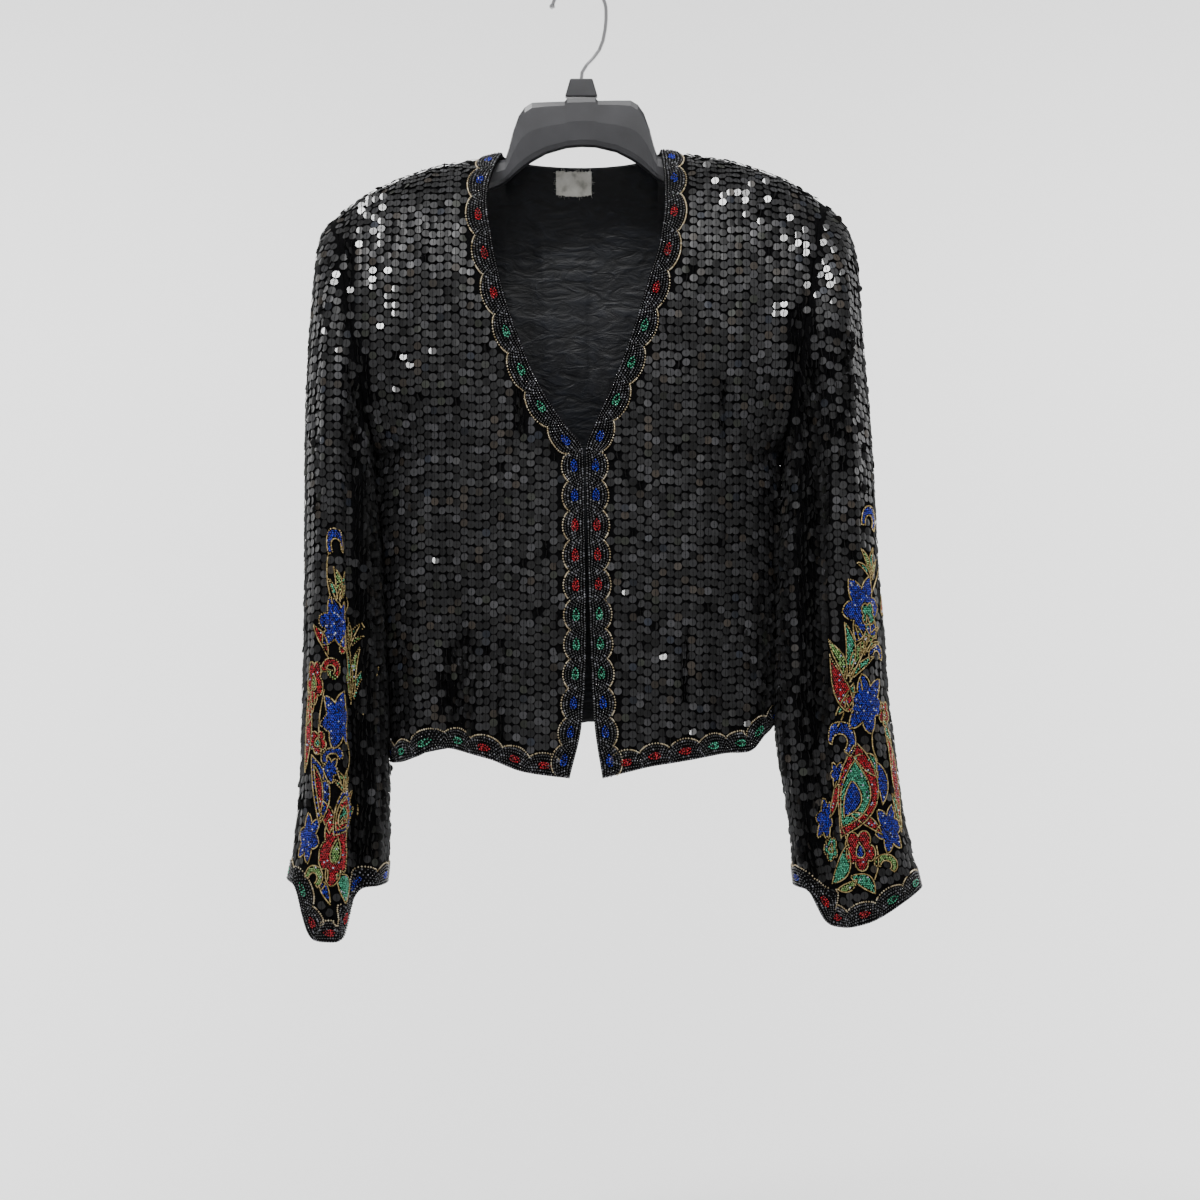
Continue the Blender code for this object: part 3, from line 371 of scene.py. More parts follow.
# Flowers and leaves of the sleeves at their pixels of the photo, sizes in millimetres, turn in degrees
Motif = namedtuple("Motif", "across down kind wide tall turn colours")
MOTIFS = {
    "right": [Motif(*row) for row in (
        (336, 545, "arch", 18, 28, -14, "blue"),
        (340, 584, "frond", 22, 30, 8, "green leaf"),
        (338, 623, "star", 43, 45, 10, "blue"),
        (343, 643, "drop", 10, 18, 20, "red"),
        (350, 671, "frond", 26, 50, -4, "leaf green"),
        (315, 682, "lobes", 18, 38, 0, "red leaf"),
        (331, 669, "arch", 17, 18, 12, "red"),
        (339, 720, "star", 39, 50, -12, "blue"),
        (309, 730, "leaf", 10, 70, 4, "red"),
        (332, 757, "arch", 21, 15, -20, "blue"),
        (343, 780, "frond", 29, 22, -8, "green leaf"),
        (319, 789, "leaf", 18, 58, -8, "blue red"),
        (343, 812, "fan", 26, 42, 16, "blue red green"),
        (309, 838, "star", 26, 45, 20, "blue"),
        (336, 850, "lobes", 31, 60, 8, "red leaf"),
        (343, 887, "leaf", 17, 28, -24, "green"),
        (314, 877, "arch", 17, 20, 26, "leaf"),
        (322, 640, "leaf", 8, 30, -30, "red"),
        (312, 705, "leaf", 7, 34, 10, "red"),
        (350, 634, "frond", 16, 28, 12, "green leaf"),
        (318, 742, "lobes", 18, 20, 0, "red green"),
        (330, 770, "star", 16, 24, 12, "blue"),
        (346, 800, "leaf", 7, 26, 62, "red"),
        (347, 815, "leaf", 7, 26, 66, "green"),
        (326, 815, "leaf", 12, 30, -20, "red"),
        (326, 893, "drop", 9, 20, 160, "blue"),
    )],
    "left": [Motif(*row) for row in (
        (868, 521, "arch", 21, 25, 10, "blue"),
        (868, 563, "frond", 22, 30, -10, "green leaf"),
        (863, 609, "star", 42, 58, -6, "blue green"),
        (853, 652, "frond", 29, 52, 12, "leaf green"),
        (875, 655, "arch", 18, 18, -6, "blue"),
        (839, 683, "drop", 18, 50, -22, "red"),
        (866, 704, "star", 40, 52, 14, "blue"),
        (883, 714, "lobes", 16, 22, 0, "red gold"),
        (840, 741, "arch", 29, 32, 18, "blue"),
        (852, 792, "fan", 42, 82, 12, "red green blue"),
        (866, 764, "leaf", 16, 25, -50, "green"),
        (881, 783, "leaf", 12, 35, -8, "blue"),
        (893, 778, "leaf", 13, 72, -8, "red"),
        (826, 819, "star", 22, 38, 12, "blue"),
        (860, 850, "lobes", 26, 35, -8, "red blue"),
        (842, 866, "leaf", 16, 38, 30, "green"),
        (889, 829, "star", 31, 42, -14, "blue"),
        (886, 864, "arch", 22, 16, 14, "leaf"),
        (880, 605, "drop", 9, 18, 20, "red"),
        (868, 636, "frond", 20, 34, 24, "leaf green"),
        (846, 700, "leaf", 9, 30, 30, "green"),
        (887, 742, "leaf", 8, 44, -10, "green"),
        (838, 775, "star", 17, 24, 0, "blue"),
        (835, 800, "leaf", 8, 34, 24, "red"),
        (866, 822, "leaf", 9, 34, -58, "red"),
        (896, 812, "leaf", 8, 34, -16, "green"),
        (832, 848, "lobes", 18, 22, 10, "green leaf"),
        (848, 886, "leaf", 8, 22, 64, "leaf"),
        (864, 883, "leaf", 13, 25, -56, "green"),
    )],
}
# Gold stems between them, from pixel to pixel
Stem = namedtuple("Stem", "from_across from_down to_across to_down bow")
STEMS = {
    "right": [Stem(*row) for row in (
        (329, 552, 333, 604, -3),
        (345, 598, 344, 612, 2),
        (346, 640, 350, 704, 4),
        (325, 690, 322, 760, -4),
        (345, 740, 345, 775, 3),
        (324, 806, 322, 822, -2),
        (328, 870, 320, 892, 3),
    )],
    "left": [Stem(*row) for row in (
        (877, 530, 871, 592, 4),
        (862, 634, 862, 690, -3),
        (845, 702, 838, 726, 2),
        (872, 728, 878, 764, -3),
        (842, 826, 846, 846, 2),
        (876, 846, 874, 880, 3),
    )],
}
FILL_STEP = 1.72
GOLD_STEP = 1.15
LINE_LIFT = 1.2
FILL_LIFT = 1.1
# A place well behind the jacket, from which its back is found
BEHIND = 400.0

# Care label's own cloth
LABEL_MIDDLE_X = -5.0
LABEL_WIDTH = 31.0
LABEL_TOP = -149.5
LABEL_DROP = 19.0
LABEL_LIFT = 0.9
LABEL_GRID = (14, 26)

# Thickness of the thinner cloths
SATIN_WALL = 0.7
TAPE_WALL = 0.35
FELT_WALL = 0.8

# Starts of the random draws. Left and right panels take a seed and the next one.
SEEDS = {
    "front_sequins": 11,
    "back_sequins": 21,
    "front_beads": 31,
    "back_beads": 41,
    "sleeve_beads": 51,
    "sleeve_sequins": 61,
    "label": 71,
}


def columns_of(table, *names):
    """Columns of a table as arrays."""
    return [np.array([getattr(row, name) for row in table], float) for name in names]


def smooth_through(knots, values, at):
    """Cubic curve through the rows of a table that never overshoots them."""
    knots = np.asarray(knots, float)
    values = np.asarray(values, float)
    at = np.clip(np.asarray(at, float), knots[0], knots[-1])
    step = np.diff(knots)
    slope = np.diff(values) / step
    tangent = np.zeros_like(values)
    same = slope[:-1] * slope[1:] > 0
    weight_a = 2 * step[1:] + step[:-1]
    weight_b = step[1:] + 2 * step[:-1]
    safe_a = np.where(same, slope[:-1], 1.0)
    safe_b = np.where(same, slope[1:], 1.0)
    mean = (weight_a + weight_b) / (weight_a / safe_a + weight_b / safe_b)
    tangent[1:-1] = np.where(same, mean, 0.0)
    tangent[0], tangent[-1] = slope[0], slope[-1]
    i = np.clip(np.searchsorted(knots, at, side="right") - 1, 0, len(step) - 1)
    t = (at - knots[i]) / step[i]
    return (
        (1 + 2 * t) * (1 - t) ** 2 * values[i]
        + t * (1 - t) ** 2 * step[i] * tangent[i]
        + t * t * (3 - 2 * t) * values[i + 1]
        + t * t * (t - 1) * step[i] * tangent[i + 1]
    )


def ease(value, low, high):
    """0 below low, 1 above high, smooth between."""
    t = np.clip((np.asarray(value, float) - low) / (high - low), 0, 1)
    return t * t * (3 - 2 * t)


def bell(value, middle, half_width):
    """Soft bump, 1 at its middle."""
    return np.exp(-(((value - middle) / half_width) ** 2))


def unit(vectors):
    """Vectors at length 1."""
    return vectors / np.maximum(np.linalg.norm(vectors, axis=-1, keepdims=True), 1e-9)


def along_line(at, along, values):
    """Values of the points of a line at distances along it."""
    return np.stack([np.interp(at, along, column) for column in values.T], axis=1)


def faded(share, width):
    """1 in the middle of a panel, 0 at both of its edges."""
    return np.minimum(ease(share, 0.0, width), 1 - ease(share, 1 - width, 1.0))


def length_along(line):
    """Distance from the start to each point of a line."""
    return np.concatenate([[0], np.cumsum(np.linalg.norm(np.diff(line, axis=0), axis=1))])


def shoulder_height(x):
    """Height of the shoulder line's outer face, with the hanger's tilt."""
    out, height = columns_of(SHOULDER_LINE, "out", "height")
    across = np.asarray(x, float) - STEM_X
    return smooth_through(out, height, np.abs(across)) + math.tan(HANGER_TILT) * across


def arch(drop):
    """Share of the full depth at this drop below the ridge."""
    left = 1 - np.clip(drop, 0, ARCH_DROP) / ARCH_DROP
    return np.sqrt(np.clip(1 - left**2, 0, 1))


def armhole_ends(side):
    """Shoulder tip and armpit."""
    x = SIDES[side] * ARMHOLE_TOP_X
    tip = np.array([x, 0.0, float(shoulder_height(x))])
    return tip, np.array([SIDES[side] * ARMPIT_X, 0.0, ARMPIT_HEIGHT])


def armhole(side, turn):
    """Points of the armhole and directions out of it in its own plane, turn in radians from the tip."""
    tip, pit = armhole_ends(side)
    half = (tip - pit) / 2
    reach = np.where(np.sin(turn) < 0, ARMHOLE_FRONT, ARMHOLE_BACK)
    points = (tip + pit) / 2 + np.cos(turn)[:, None] * half
    points[:, 1] = reach * np.sin(turn)
    out = (np.cos(turn) * reach)[:, None] * unit(half)
    out[:, 1] = np.linalg.norm(half) * np.sin(turn)
    return points, unit(out)


def outer_edge(side, face, rise):
    """Side seam up to the armpit, then the armhole up to the shoulder tip, with the armhole's directions."""
    hem = SIDE_HEM[side]
    share = np.clip(rise, 0, 1)
    x = SIDES[side] * (hem.across + (ARMPIT_X - hem.across) * share)
    z = hem.height + (ARMPIT_HEIGHT - hem.height) * share
    seam = np.stack([x, hem.back * (1 - share), z], axis=1)
    turn = math.pi * (2 - np.asarray(rise, float)) * (-1 if face == "front" else 1)
    points, out = armhole(side, turn)
    return np.where((rise > 1)[:, None], points, seam), out


def neck_point(side):
    """Where the neck edge meets the shoulder seam."""
    x = getattr(FRONT_EDGE[-1], side)
    return np.array([x, 0.0, float(shoulder_height(x))])


def ridge_height(x, face, side):
    """Height from which the cloth's arch is measured: the back has a low ridge across its neck."""
    if face == "front":
        return shoulder_height(x)
    within = 1 - np.clip(x / neck_point(side)[0], 0, 1) ** 2
    return shoulder_height(x) + BACK_NECK_RIDGE * within


def folds_at(side, face, x, z):
    """How far the hanging folds push the cloth into the body."""
    depth = np.zeros_like(x)
    hem = SIDE_HEM[side].height
    for fold in BODY_FOLDS:
        if fold.side == side and fold.face == face:
            depth += fold.depth * (1 - ease(z, hem, fold.top)) * bell(x, fold.across, fold.half_width)
    return depth


def inner_edge(side, face, rise):
    """Free edge of a front, or the middle line of the back."""
    if face == "front":
        knots, height, across, depth = columns_of(FRONT_EDGE, "rise", "height", side, "forward")
        height[-1] = neck_point(side)[2]
        depth = -depth
    else:
        knots, height, across, depth = columns_of(BACK_MIDDLE, "rise", "height", "across", "back")
    columns = [smooth_through(knots, values, rise) for values in (across, depth, height)]
    return np.stack(columns, axis=1)


def back_top(side, share):
    """Across and height of the back's top row: its neck edge, then its shoulder seam."""
    neck, tip = neck_point(side), armhole_ends(side)[0]
    middle = BACK_MIDDLE[-1]
    neck_share = BACK_NECK_COLUMNS / BODY_COLUMNS
    turn = np.clip(share / neck_share, 0, 1) * math.pi / 2
    beyond = np.clip((share - neck_share) / (1 - neck_share), 0, 1)
    x = middle.across + (neck[0] - middle.across) * np.sin(turn) + (tip[0] - neck[0]) * beyond
    curve = middle.height + (neck[2] - middle.height) * (1 - np.cos(turn))
    return x, np.where(share < neck_share, curve, shoulder_height(x))


def body_surface(side, face, rise, share):
    """Grid of points of the outer face of a front or a half back, rise by share."""
    inner = inner_edge(side, face, rise)[:, None, :]
    outer = outer_edge(side, face, rise)[0][:, None, :]
    turned = (1 - 0.8 * ease(rise, 0.9, 1.45))[:, None]
    angle = share[None, :] * math.pi / 2
    share_x = (1 - turned) * share[None, :] + turned * np.sin(angle) ** (2 / SIDE_ROUNDNESS)
    round_y = 1 - np.cos(angle) ** (2 / SIDE_ROUNDNESS)
    share_y = (1 - turned) * share[None, :] ** 2 + turned * round_y
    climb = ((1 - np.cos(math.pi * np.clip(rise - 1, 0, 1))) / 2)[:, None]
    if face == "back":
        lower = np.clip(rise, 0, 1)
        low_in = inner_edge(side, face, lower)[:, None, :]
        low_out = outer_edge(side, face, lower)[0][:, None, :]
        top_x, top_z = back_top(side, share)
        x = low_in[..., 0] + (low_out[..., 0] - low_in[..., 0]) * share_x
        z = low_in[..., 2] + (low_out[..., 2] - low_in[..., 2]) * share_x
        x = x + (top_x[None, :] - x) * climb
        z = z + (top_z[None, :] - z) * climb
    else:
        x = inner[..., 0] + (outer[..., 0] - inner[..., 0]) * share_x
        z = inner[..., 2] + (outer[..., 2] - inner[..., 2]) * share_x
        ends = shoulder_height(inner[..., 0]), shoulder_height(outer[..., 0])
        straight = ends[0] + (ends[1] - ends[0]) * share_x
        z = z + (shoulder_height(x) - straight) * climb
        knots, bow = columns_of(HEM_BOW, "share", side)
        z = z + smooth_through(knots, bow, share)[None, :] * (1 - ease(rise, 0.0, 0.55))[:, None]
    sign = -1 if face == "front" else 1
    full = (BODY_FRONT, ARMHOLE_FRONT) if face == "front" else (BODY_BACK, ARMHOLE_BACK)
    depth = full[0] + (full[1] - full[0]) * share[None, :]
    high = sign * depth * arch(ridge_height(x, face, side) - z)
    if face == "front":
        high = high + (inner[..., 1] - high[:, :1]) * (1 - share[None, :]) ** 4
    high = high + (outer[..., 1] - high[:, -1:]) * share[None, :] ** 4
    low = inner[..., 1] + (outer[..., 1] - inner[..., 1]) * share_y
    y = low + (high - low) * ease(rise, 1.3, 1.6)[:, None]
    y = y - sign * folds_at(side, face, x, z) * faded(share, 0.12)[None, :]
    return np.stack([x, y, z], axis=-1)


def grid_normals(grid, outward, wrap=False):
    """Unit normals at a grid's points; outward gives the sign."""
    along = np.roll(grid, -1, axis=1) - np.roll(grid, 1, axis=1) if wrap else np.gradient(grid, axis=1)
    return outward * unit(np.cross(along, np.gradient(grid, axis=0)))


def sleeve_rings(side):
    """Rows of a sleeve, the first of them just outside the armhole."""
    tip, pit = armhole_ends(side)
    away = unit(np.array([(tip - pit)[2], 0.0, -(tip - pit)[0]])) * SIDES[side] * SEAM_GAP
    tip, pit = tip + away, pit + away
    first = RingRow(tip[0], tip[2], pit[0], pit[2], 0, ARMHOLE_FRONT, ARMHOLE_BACK, 0.0)
    return [first] + SLEEVES[side]


def sleeve_surface(side, down, turn):
    """Grid of points of the outer face of a sleeve: down in rings, turn in degrees."""
    table = sleeve_rings(side)
    last = len(table) - 1
    names = ("outer_x", "outer_z", "inner_x", "inner_z", "middle", "forward", "back", "fold")
    knots = np.arange(len(table), dtype=float)
    rings = [smooth_through(knots, column, down)[:, None] for column in columns_of(table, *names)]
    outer_x, outer_z, inner_x, inner_z, middle, forward, back, fold = rings
    half = np.hypot(outer_x - inner_x, outer_z - inner_z) / 2
    angle = np.radians(turn)[None, :]
    power = 2 / (2 + (RING_SQUARENESS - 2) * ease(down, 0, 6))[:, None]
    across = half * np.sign(np.cos(angle)) * np.abs(np.cos(angle)) ** power
    reach = np.where(np.sin(angle) < 0, forward, back)
    depth = reach * np.sign(np.sin(angle)) * np.abs(np.sin(angle)) ** power
    for trough in SLEEVE_FOLDS:
        if trough.side == side:
            strength = ease(down, trough.first, trough.first + 3.0)[:, None] * fold * trough.depth
            away = (turn - trough.turn + 180) % 360 - 180
            dent = strength * bell(away, 0, trough.half_turn)[None, :]
            lean = math.radians(trough.turn)
            aim_across, aim_depth = math.cos(lean) * reach, math.sin(lean) * half
            size = np.hypot(aim_across, aim_depth)
            across = across - dent * aim_across / size
            depth = depth - dent * aim_depth / size
    x = (outer_x + inner_x) / 2 + across / half * (outer_x - inner_x) / 2
    z = (outer_z + inner_z) / 2 + across / half * (outer_z - inner_z) / 2
    cuff = CUFF_DROP[side]
    away = (turn - cuff.turn + 180) % 360 - 180
    inward = np.exp(-(np.abs(away / cuff.inward) ** cuff.inward_power))
    outward = np.exp(-(np.abs(away / cuff.outward) ** cuff.outward_power))
    drop = cuff.drop * np.where(away < 0, inward, outward)[None, :]
    z = z - drop * ease(down, last - CUFF_RISE_RINGS, last)[:, None]
    return np.stack([x, middle + depth, z], axis=-1)


def window(height, top, bottom):
    """1 between bottom and top, fading softly at both ends."""
    soft = min(28.0, (top - bottom) / 3)
    return ease(height, bottom - soft, bottom + soft) * (1 - ease(height, top - soft, top + soft))


def fine_rises():
    """Rows of the finer cloth, which crowd towards the shoulder."""
    low = np.linspace(0, 1, FINE_LOW_ROWS)[:-1]
    return np.concatenate([low, 1 + np.sin(np.linspace(0, math.pi / 2, FINE_HIGH_ROWS)) ** 1.1])


@lru_cache(maxsize=None)
def body_cloth(side, face):
    """Fine grid and outward normals of a front or half back, creased."""
    rises = fine_rises()
    grid = body_surface(side, face, rises, np.linspace(0, 1, FINE_COLUMNS))
    outward = SIDES[side] * (1 if face == "front" else -1)
    normals = grid_normals(grid, outward)
    push = np.zeros(grid.shape[:2])
    for crease in CREASES:
        if (crease.face, crease.side) == (face, side):
            middle = crease.across + crease.lean * (grid[..., 2] - crease.top)
            near = bell(grid[..., 0], middle, crease.half_width)
            push += crease.depth * near * window(grid[..., 2], crease.top, crease.bottom)
    push *= faded(np.linspace(0, 1, FINE_COLUMNS)[None, :], 0.1)
    grid = grid - normals * push[..., None]
    normals = grid_normals(grid, outward)
    normals[-1, np.abs(grid[-1, :, 1]) < 0.5, 1] = 0.0
    normals[: FINE_LOW_ROWS, -1, 1] = 0.0
    if face == "back":
        normals[:, 0, 0] = 0.0
    around = rises >= 1
    normals[around, -1] = outer_edge(side, face, rises[around])[1]
    return grid, unit(normals)


@lru_cache(maxsize=None)
def back_cloth():
    """Fine grid and normals of the whole back, from the right side seam to the left one."""
    right, left = body_cloth("right", "back"), body_cloth("left", "back")
    grid = np.concatenate([right[0][:, :0:-1], left[0]], axis=1)
    return grid, np.concatenate([right[1][:, :0:-1], left[1]], axis=1)


@lru_cache(maxsize=None)
def sleeve_cloth(side):
    """Fine grid and normals of a sleeve, armhole first, creased."""
    turns = np.arange(FINE_TURNS) * 360 / FINE_TURNS - 180
    grid = sleeve_surface(side, np.linspace(0, len(SLEEVES[side]), FINE_RINGS), turns)
    normals = grid_normals(grid, -SIDES[side], wrap=True)
    push = np.zeros(grid.shape[:2])
    for crease in SLEEVE_CREASES:
        if crease.side == side:
            middle = crease.turn + crease.drift * (crease.top - grid[..., 2]) / 100
            away = (turns[None, :] - middle + 180) % 360 - 180
            near = bell(away, 0, crease.half_turn)
            push += crease.depth * near * window(grid[..., 2], crease.top, crease.bottom)
    grid = grid - normals * push[..., None]
    normals = grid_normals(grid, -SIDES[side], wrap=True)
    normals[0] = armhole(side, np.radians(turns))[1]
    return grid, normals


def wall_faces(rows, columns, wrap):
    """Faces of a closed wall of two layers of a grid: outer ones, inner ones, then the edges."""
    spans = columns if wrap else columns - 1
    count = rows * columns
    outer = []
    for i in range(rows - 1):
        for j in range(spans):
            a, b = i * columns + j, i * columns + (j + 1) % columns
            outer.append((a, b, b + columns, a + columns))
    inner = [tuple(count + corner for corner in reversed(face)) for face in outer]
    rims = []
    for j in range(spans):
        a, b = j, (j + 1) % columns
        rims.append((b, a, count + a, count + b))
        a, b = a + count - columns, b + count - columns
        rims.append((a, b, count + b, count + a))
    if not wrap:
        for i in range(rows - 1):
            a, b = i * columns, (i + 1) * columns
            rims.append((a, b, count + b, count + a))
            a, b = a + columns - 1, b + columns - 1
            rims.append((b, a, count + a, count + b))
    return outer, inner, rims


def cloth_piece(name, grid, normals, thickness, finishes, outward, wrap=False):
    """Thin closed shell of cloth, its outer face and rims in the first finish, its inside in the last."""
    rows, columns = grid.shape[:2]
    points = np.concatenate([grid.reshape(-1, 3), (grid - normals * thickness).reshape(-1, 3)]) * MM
    outer, inner, rims = wall_faces(rows, columns, wrap)
    faces = outer + inner + rims
    if outward < 0:
        faces = [tuple(reversed(face)) for face in faces]
    mesh = bpy.data.meshes.new(name)
    mesh.from_pydata(points.tolist(), [], faces)
    mesh.shade_smooth()
    for finish in finishes:
        mesh.materials.append(finish)
    if len(finishes) > 1:
        inside = np.zeros(len(faces), int)
        inside[len(outer) : len(outer) + len(inner)] = len(finishes) - 1
        mesh.polygons.foreach_set("material_index", inside)
    return link(name, mesh)


def link(name, mesh):
    """New object of a mesh, in the scene."""
    made = bpy.data.objects.new(name, mesh)
    bpy.context.scene.collection.objects.link(made)
    return made


def settle(piece, replaced=()):
    """The piece goes with the jacket, in place of the solids named."""
    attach(piece, "root")
    if replaced:
        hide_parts(*replaced)
    return piece


def cut_of(grid, wrap=False):
    """Width, length and area in metres of the flat cut that a grid of cloth would need."""
    closed = np.concatenate([grid, grid[:, :1]], axis=1) if wrap else grid
    across = np.linalg.norm(np.diff(closed, axis=1), axis=2)
    along = np.linalg.norm(np.diff(closed, axis=0), axis=2)
    corner = np.cross(closed[1:, 1:] - closed[:-1, :-1], closed[1:, :-1] - closed[:-1, 1:])
    area = np.linalg.norm(corner, axis=2).sum() / 2
    return across.sum(axis=1).max() * MM, along.sum(axis=0).max() * MM, area * MM * MM


def declare_cloth(grid, wrap=False):
    """Works out the flat cut and area that a grid of cloth would need; nothing is done with them."""
    width, length, area = cut_of(grid, wrap)
    flat = (round(width, 3), round(length, 3))
    area = min(area, flat[0] * flat[1])


def tree_of_grid(grid, wrap=False):
    """Search tree of a grid's faces, in millimetres."""
    rows, columns = grid.shape[:2]
    outer = wall_faces(rows, columns, wrap)[0]
    return BVHTree.FromPolygons(grid.reshape(-1, 3).tolist(), outer)


def photo_place(points):
    """Pixel across and down the photo at which each point shows."""
    size = PIXEL * (1 + points[:, 1] / CAMERA_AWAY)
    across = PHOTO_MIDDLE + (points[:, 0] - CAMERA_X) / size
    return across, PHOTO_MIDDLE - (points[:, 2] - CAMERA_Z) / size


def photo_ray(across, down):
    """Camera's place and the direction of a pixel."""
    aim = Vector(((across - PHOTO_MIDDLE) * PIXEL, CAMERA_AWAY, (PHOTO_MIDDLE - down) * PIXEL))
    return Vector((CAMERA_X, -CAMERA_AWAY, CAMERA_Z)), aim.normalized()


def srgb(code):
    """Linear colour of a hex code."""
    parts = [int(code[i : i + 2], 16) / 255 for i in (1, 3, 5)]
    return tuple(c / 12.92 if c <= 0.04045 else ((c + 0.055) / 1.055) ** 2.4 for c in parts) + (1.0,)


def fed(tree, made, inputs):
    """Gives sockets of a node, by name or number, their value or the output that feeds them."""
    for socket, value in inputs.items():
        if isinstance(value, bpy.types.NodeSocket):
            tree.links.new(value, made.inputs[socket])
        else:
            made.inputs[socket].default_value = value
    return made


def node(tree, kind, inputs, output=0, **settings):
    """One output of a new shader node."""
    made = tree.nodes.new("ShaderNode" + kind)
    for name, value in settings.items():
        setattr(made, name, value)
    return fed(tree, made, inputs).outputs[output]


def ramp(tree, source, *stops):
    """Colour ramp through places and hex colours."""
    made = tree.nodes.new("ShaderNodeValToRGB")
    band = made.color_ramp
    while len(band.elements) < len(stops):
        band.elements.new(1.0)
    for element, (place, code) in zip(band.elements, stops):
        element.position = place
        element.color = srgb(code)
    return fed(tree, made, {"Fac": source}).outputs["Color"]


def noise(tree, scale, detail, place=None, **more):
    """Soft noise over the object's own coordinates, or over others."""
    place = place or node(tree, "TexCoord", {}, "Object")
    return node(tree, "TexNoise", {"Vector": place, "Scale": scale, "Detail": detail, **more}, "Fac")


def wave(tree, scale, distortion):
    """Even ribs that lie across the cloth."""
    place = node(tree, "TexCoord", {}, "Object")
    settings = {"Vector": place, "Scale": scale, "Distortion": distortion}
    return node(tree, "TexWave", settings, "Fac", bands_direction="Z")


def bump(tree, height, strength, distance):
    """Normal of a surface with this relief."""
    return node(tree, "Bump", {"Height": height, "Strength": strength, "Distance": distance})


def mapped(tree, value, old, new, **settings):
    """The value moved from one range to another."""
    ends = {"From Min": old[0], "From Max": old[1], "To Min": new[0], "To Max": new[1]}
    return node(tree, "MapRange", {"Value": value, **ends}, **settings)


def clouded(tree, scale, detail, *stops):
    """Tint of each bead or sequin, darkened in soft clouds."""
    tint = node(tree, "VertexColor", {}, "Color", layer_name="tint")
    cloud = ramp(tree, noise(tree, scale, detail), *stops)
    return node(tree, "Mix", {0: 1.0, 6: tint, 7: cloud}, 2, data_type="RGBA", blend_type="MULTIPLY")


def material(name, dress):
    """New material whose shader gets the inputs that dress makes in its tree."""
    made = bpy.data.materials.new(name)
    made.use_nodes = True
    tree = made.node_tree
    fed(tree, tree.nodes["Principled BSDF"], dress(tree))
    return made


def sequin_finish():
    """Moulded plastic sequin with a satin face: a soft grey light with a dark hole and thread line, and a
    dark rim painted as the shade between overlapping sequins.
    """
    look = bpy.context.scene.jacket_sequins

    def dress(tree):
        place = node(tree, "UVMap", {}, uv_map="sequin")
        x = node(tree, "SeparateXYZ", {"Vector": place})
        aside = node(tree, "Math", {0: x, 1: 0.5}, operation="SUBTRACT")
        across = node(tree, "Math", {0: aside}, operation="ABSOLUTE")
        centred = node(tree, "VectorMath", {0: place, 1: (0.5, 0.5, 0.0)}, operation="SUBTRACT")
        radius = node(tree, "VectorMath", {0: centred}, "Value", operation="LENGTH")
        face_not_hole_thread_or_painted_rim_shade = 1.0
        # Dark at the hole and along the thread line, which are real, and round the rim, which is painted
        # shade: the shadow between overlapping sequins
        for value, ends in ((radius, (0.04, 0.08)), (across, (0.015, 0.045)), (radius, (0.5, 0.45))):
            part = mapped(tree, value, ends, (0.0, 1.0), interpolation_type="SMOOTHSTEP")
            face_not_hole_thread_or_painted_rim_shade = node(tree, "Math", {0: face_not_hole_thread_or_painted_rim_shade, 1: part}, operation="MULTIPLY")
        shade = clouded(tree, 38.0, 3.0, (0.3, "#b9b9b9"), (0.7, "#ffffff"))
        # A sequin that flashes is a smoother one, and one seen from its edge is dull
        kind = node(tree, "VertexColor", {}, "Alpha", layer_name="tint")
        duller = mapped(tree, kind, (0.0, 0.5), (0.2, look.edge_roughness))
        face = mapped(tree, kind, (0.5, 1.0), (duller, look.roughness))
        return {
            "Base Color": node(tree, "Mix", {0: face_not_hole_thread_or_painted_rim_shade, 6: srgb("#040404"), 7: shade}, 2, data_type="RGBA"),
            "Roughness": mapped(tree, face_not_hole_thread_or_painted_rim_shade, (0.0, 1.0), (0.9, face)),
            "IOR": 1.33,
            "Normal": bump(tree, noise(tree, 900.0, 2.0), 0.08, 0.0003),
        }

    return material("satin black plastic sequins", dress)


def ground_finish():
    """Woven polyester georgette, black and quite dull, with a fine crepe grain that shows between sequins."""

    def dress(tree):
        crepe = noise(tree, 700.0, 3.0)
        height = node(tree, "Math", {0: wave(tree, 320.0, 1.5), 1: crepe}, operation="ADD")
        return {
            "Base Color": ramp(tree, crepe, (0.35, "#040405"), (0.7, "#0b0b0c")),
            "Roughness": 0.85,
            "IOR": 1.12,
            "Normal": bump(tree, height, 0.5, 0.0002),
        }

    return material("black georgette", dress)


def satin_finish():
    """Woven acetate satin, blue-black, with crosswise crinkles that catch the light as fine lines."""

    def dress(tree):
        # The crinkles are about 3 mm apart down the cloth and several times as long across it
        place = node(tree, "TexCoord", {}, "Object")
        long_place = node(tree, "Mapping", {"Vector": place, "Scale": (0.45, 0.5, 1.0)})
        crinkle = noise(tree, 110.0, 4.0, long_place, Roughness=0.5, Distortion=1.4)
        folds = noise(tree, 34.0, 3.0, long_place, Distortion=1.6)
        both = node(tree, "Math", {0: crinkle, 1: folds}, operation="ADD")
        # The colour follows the crinkles' relief, lighter where they rise: a painted highlight along the
        # crinkles over their real bumped relief
        return {
            "Base Color": ramp(tree, crinkle, (0.32, "#050609"), (0.5, "#090b10"), (0.7, "#10131a")),
            "Roughness": 0.46,
            "IOR": 1.32,
            "Normal": bump(tree, both, 0.5, 0.002),
        }

    return material("crinkled acetate satin", dress)


def glass_finish():
    """Pressed glass seed beads: each bead's own colour under a sharp bright point of light; the grey and pale
    beads among them are painted highlights.
    """
    return material("glass seed beads", lambda tree: {
        "Base Color": clouded(tree, 420.0, 1.0, (0.3, "#a8a8a8"), (0.65, "#ffffff")),
        "Roughness": 0.1,
        "IOR": 1.75,
    })


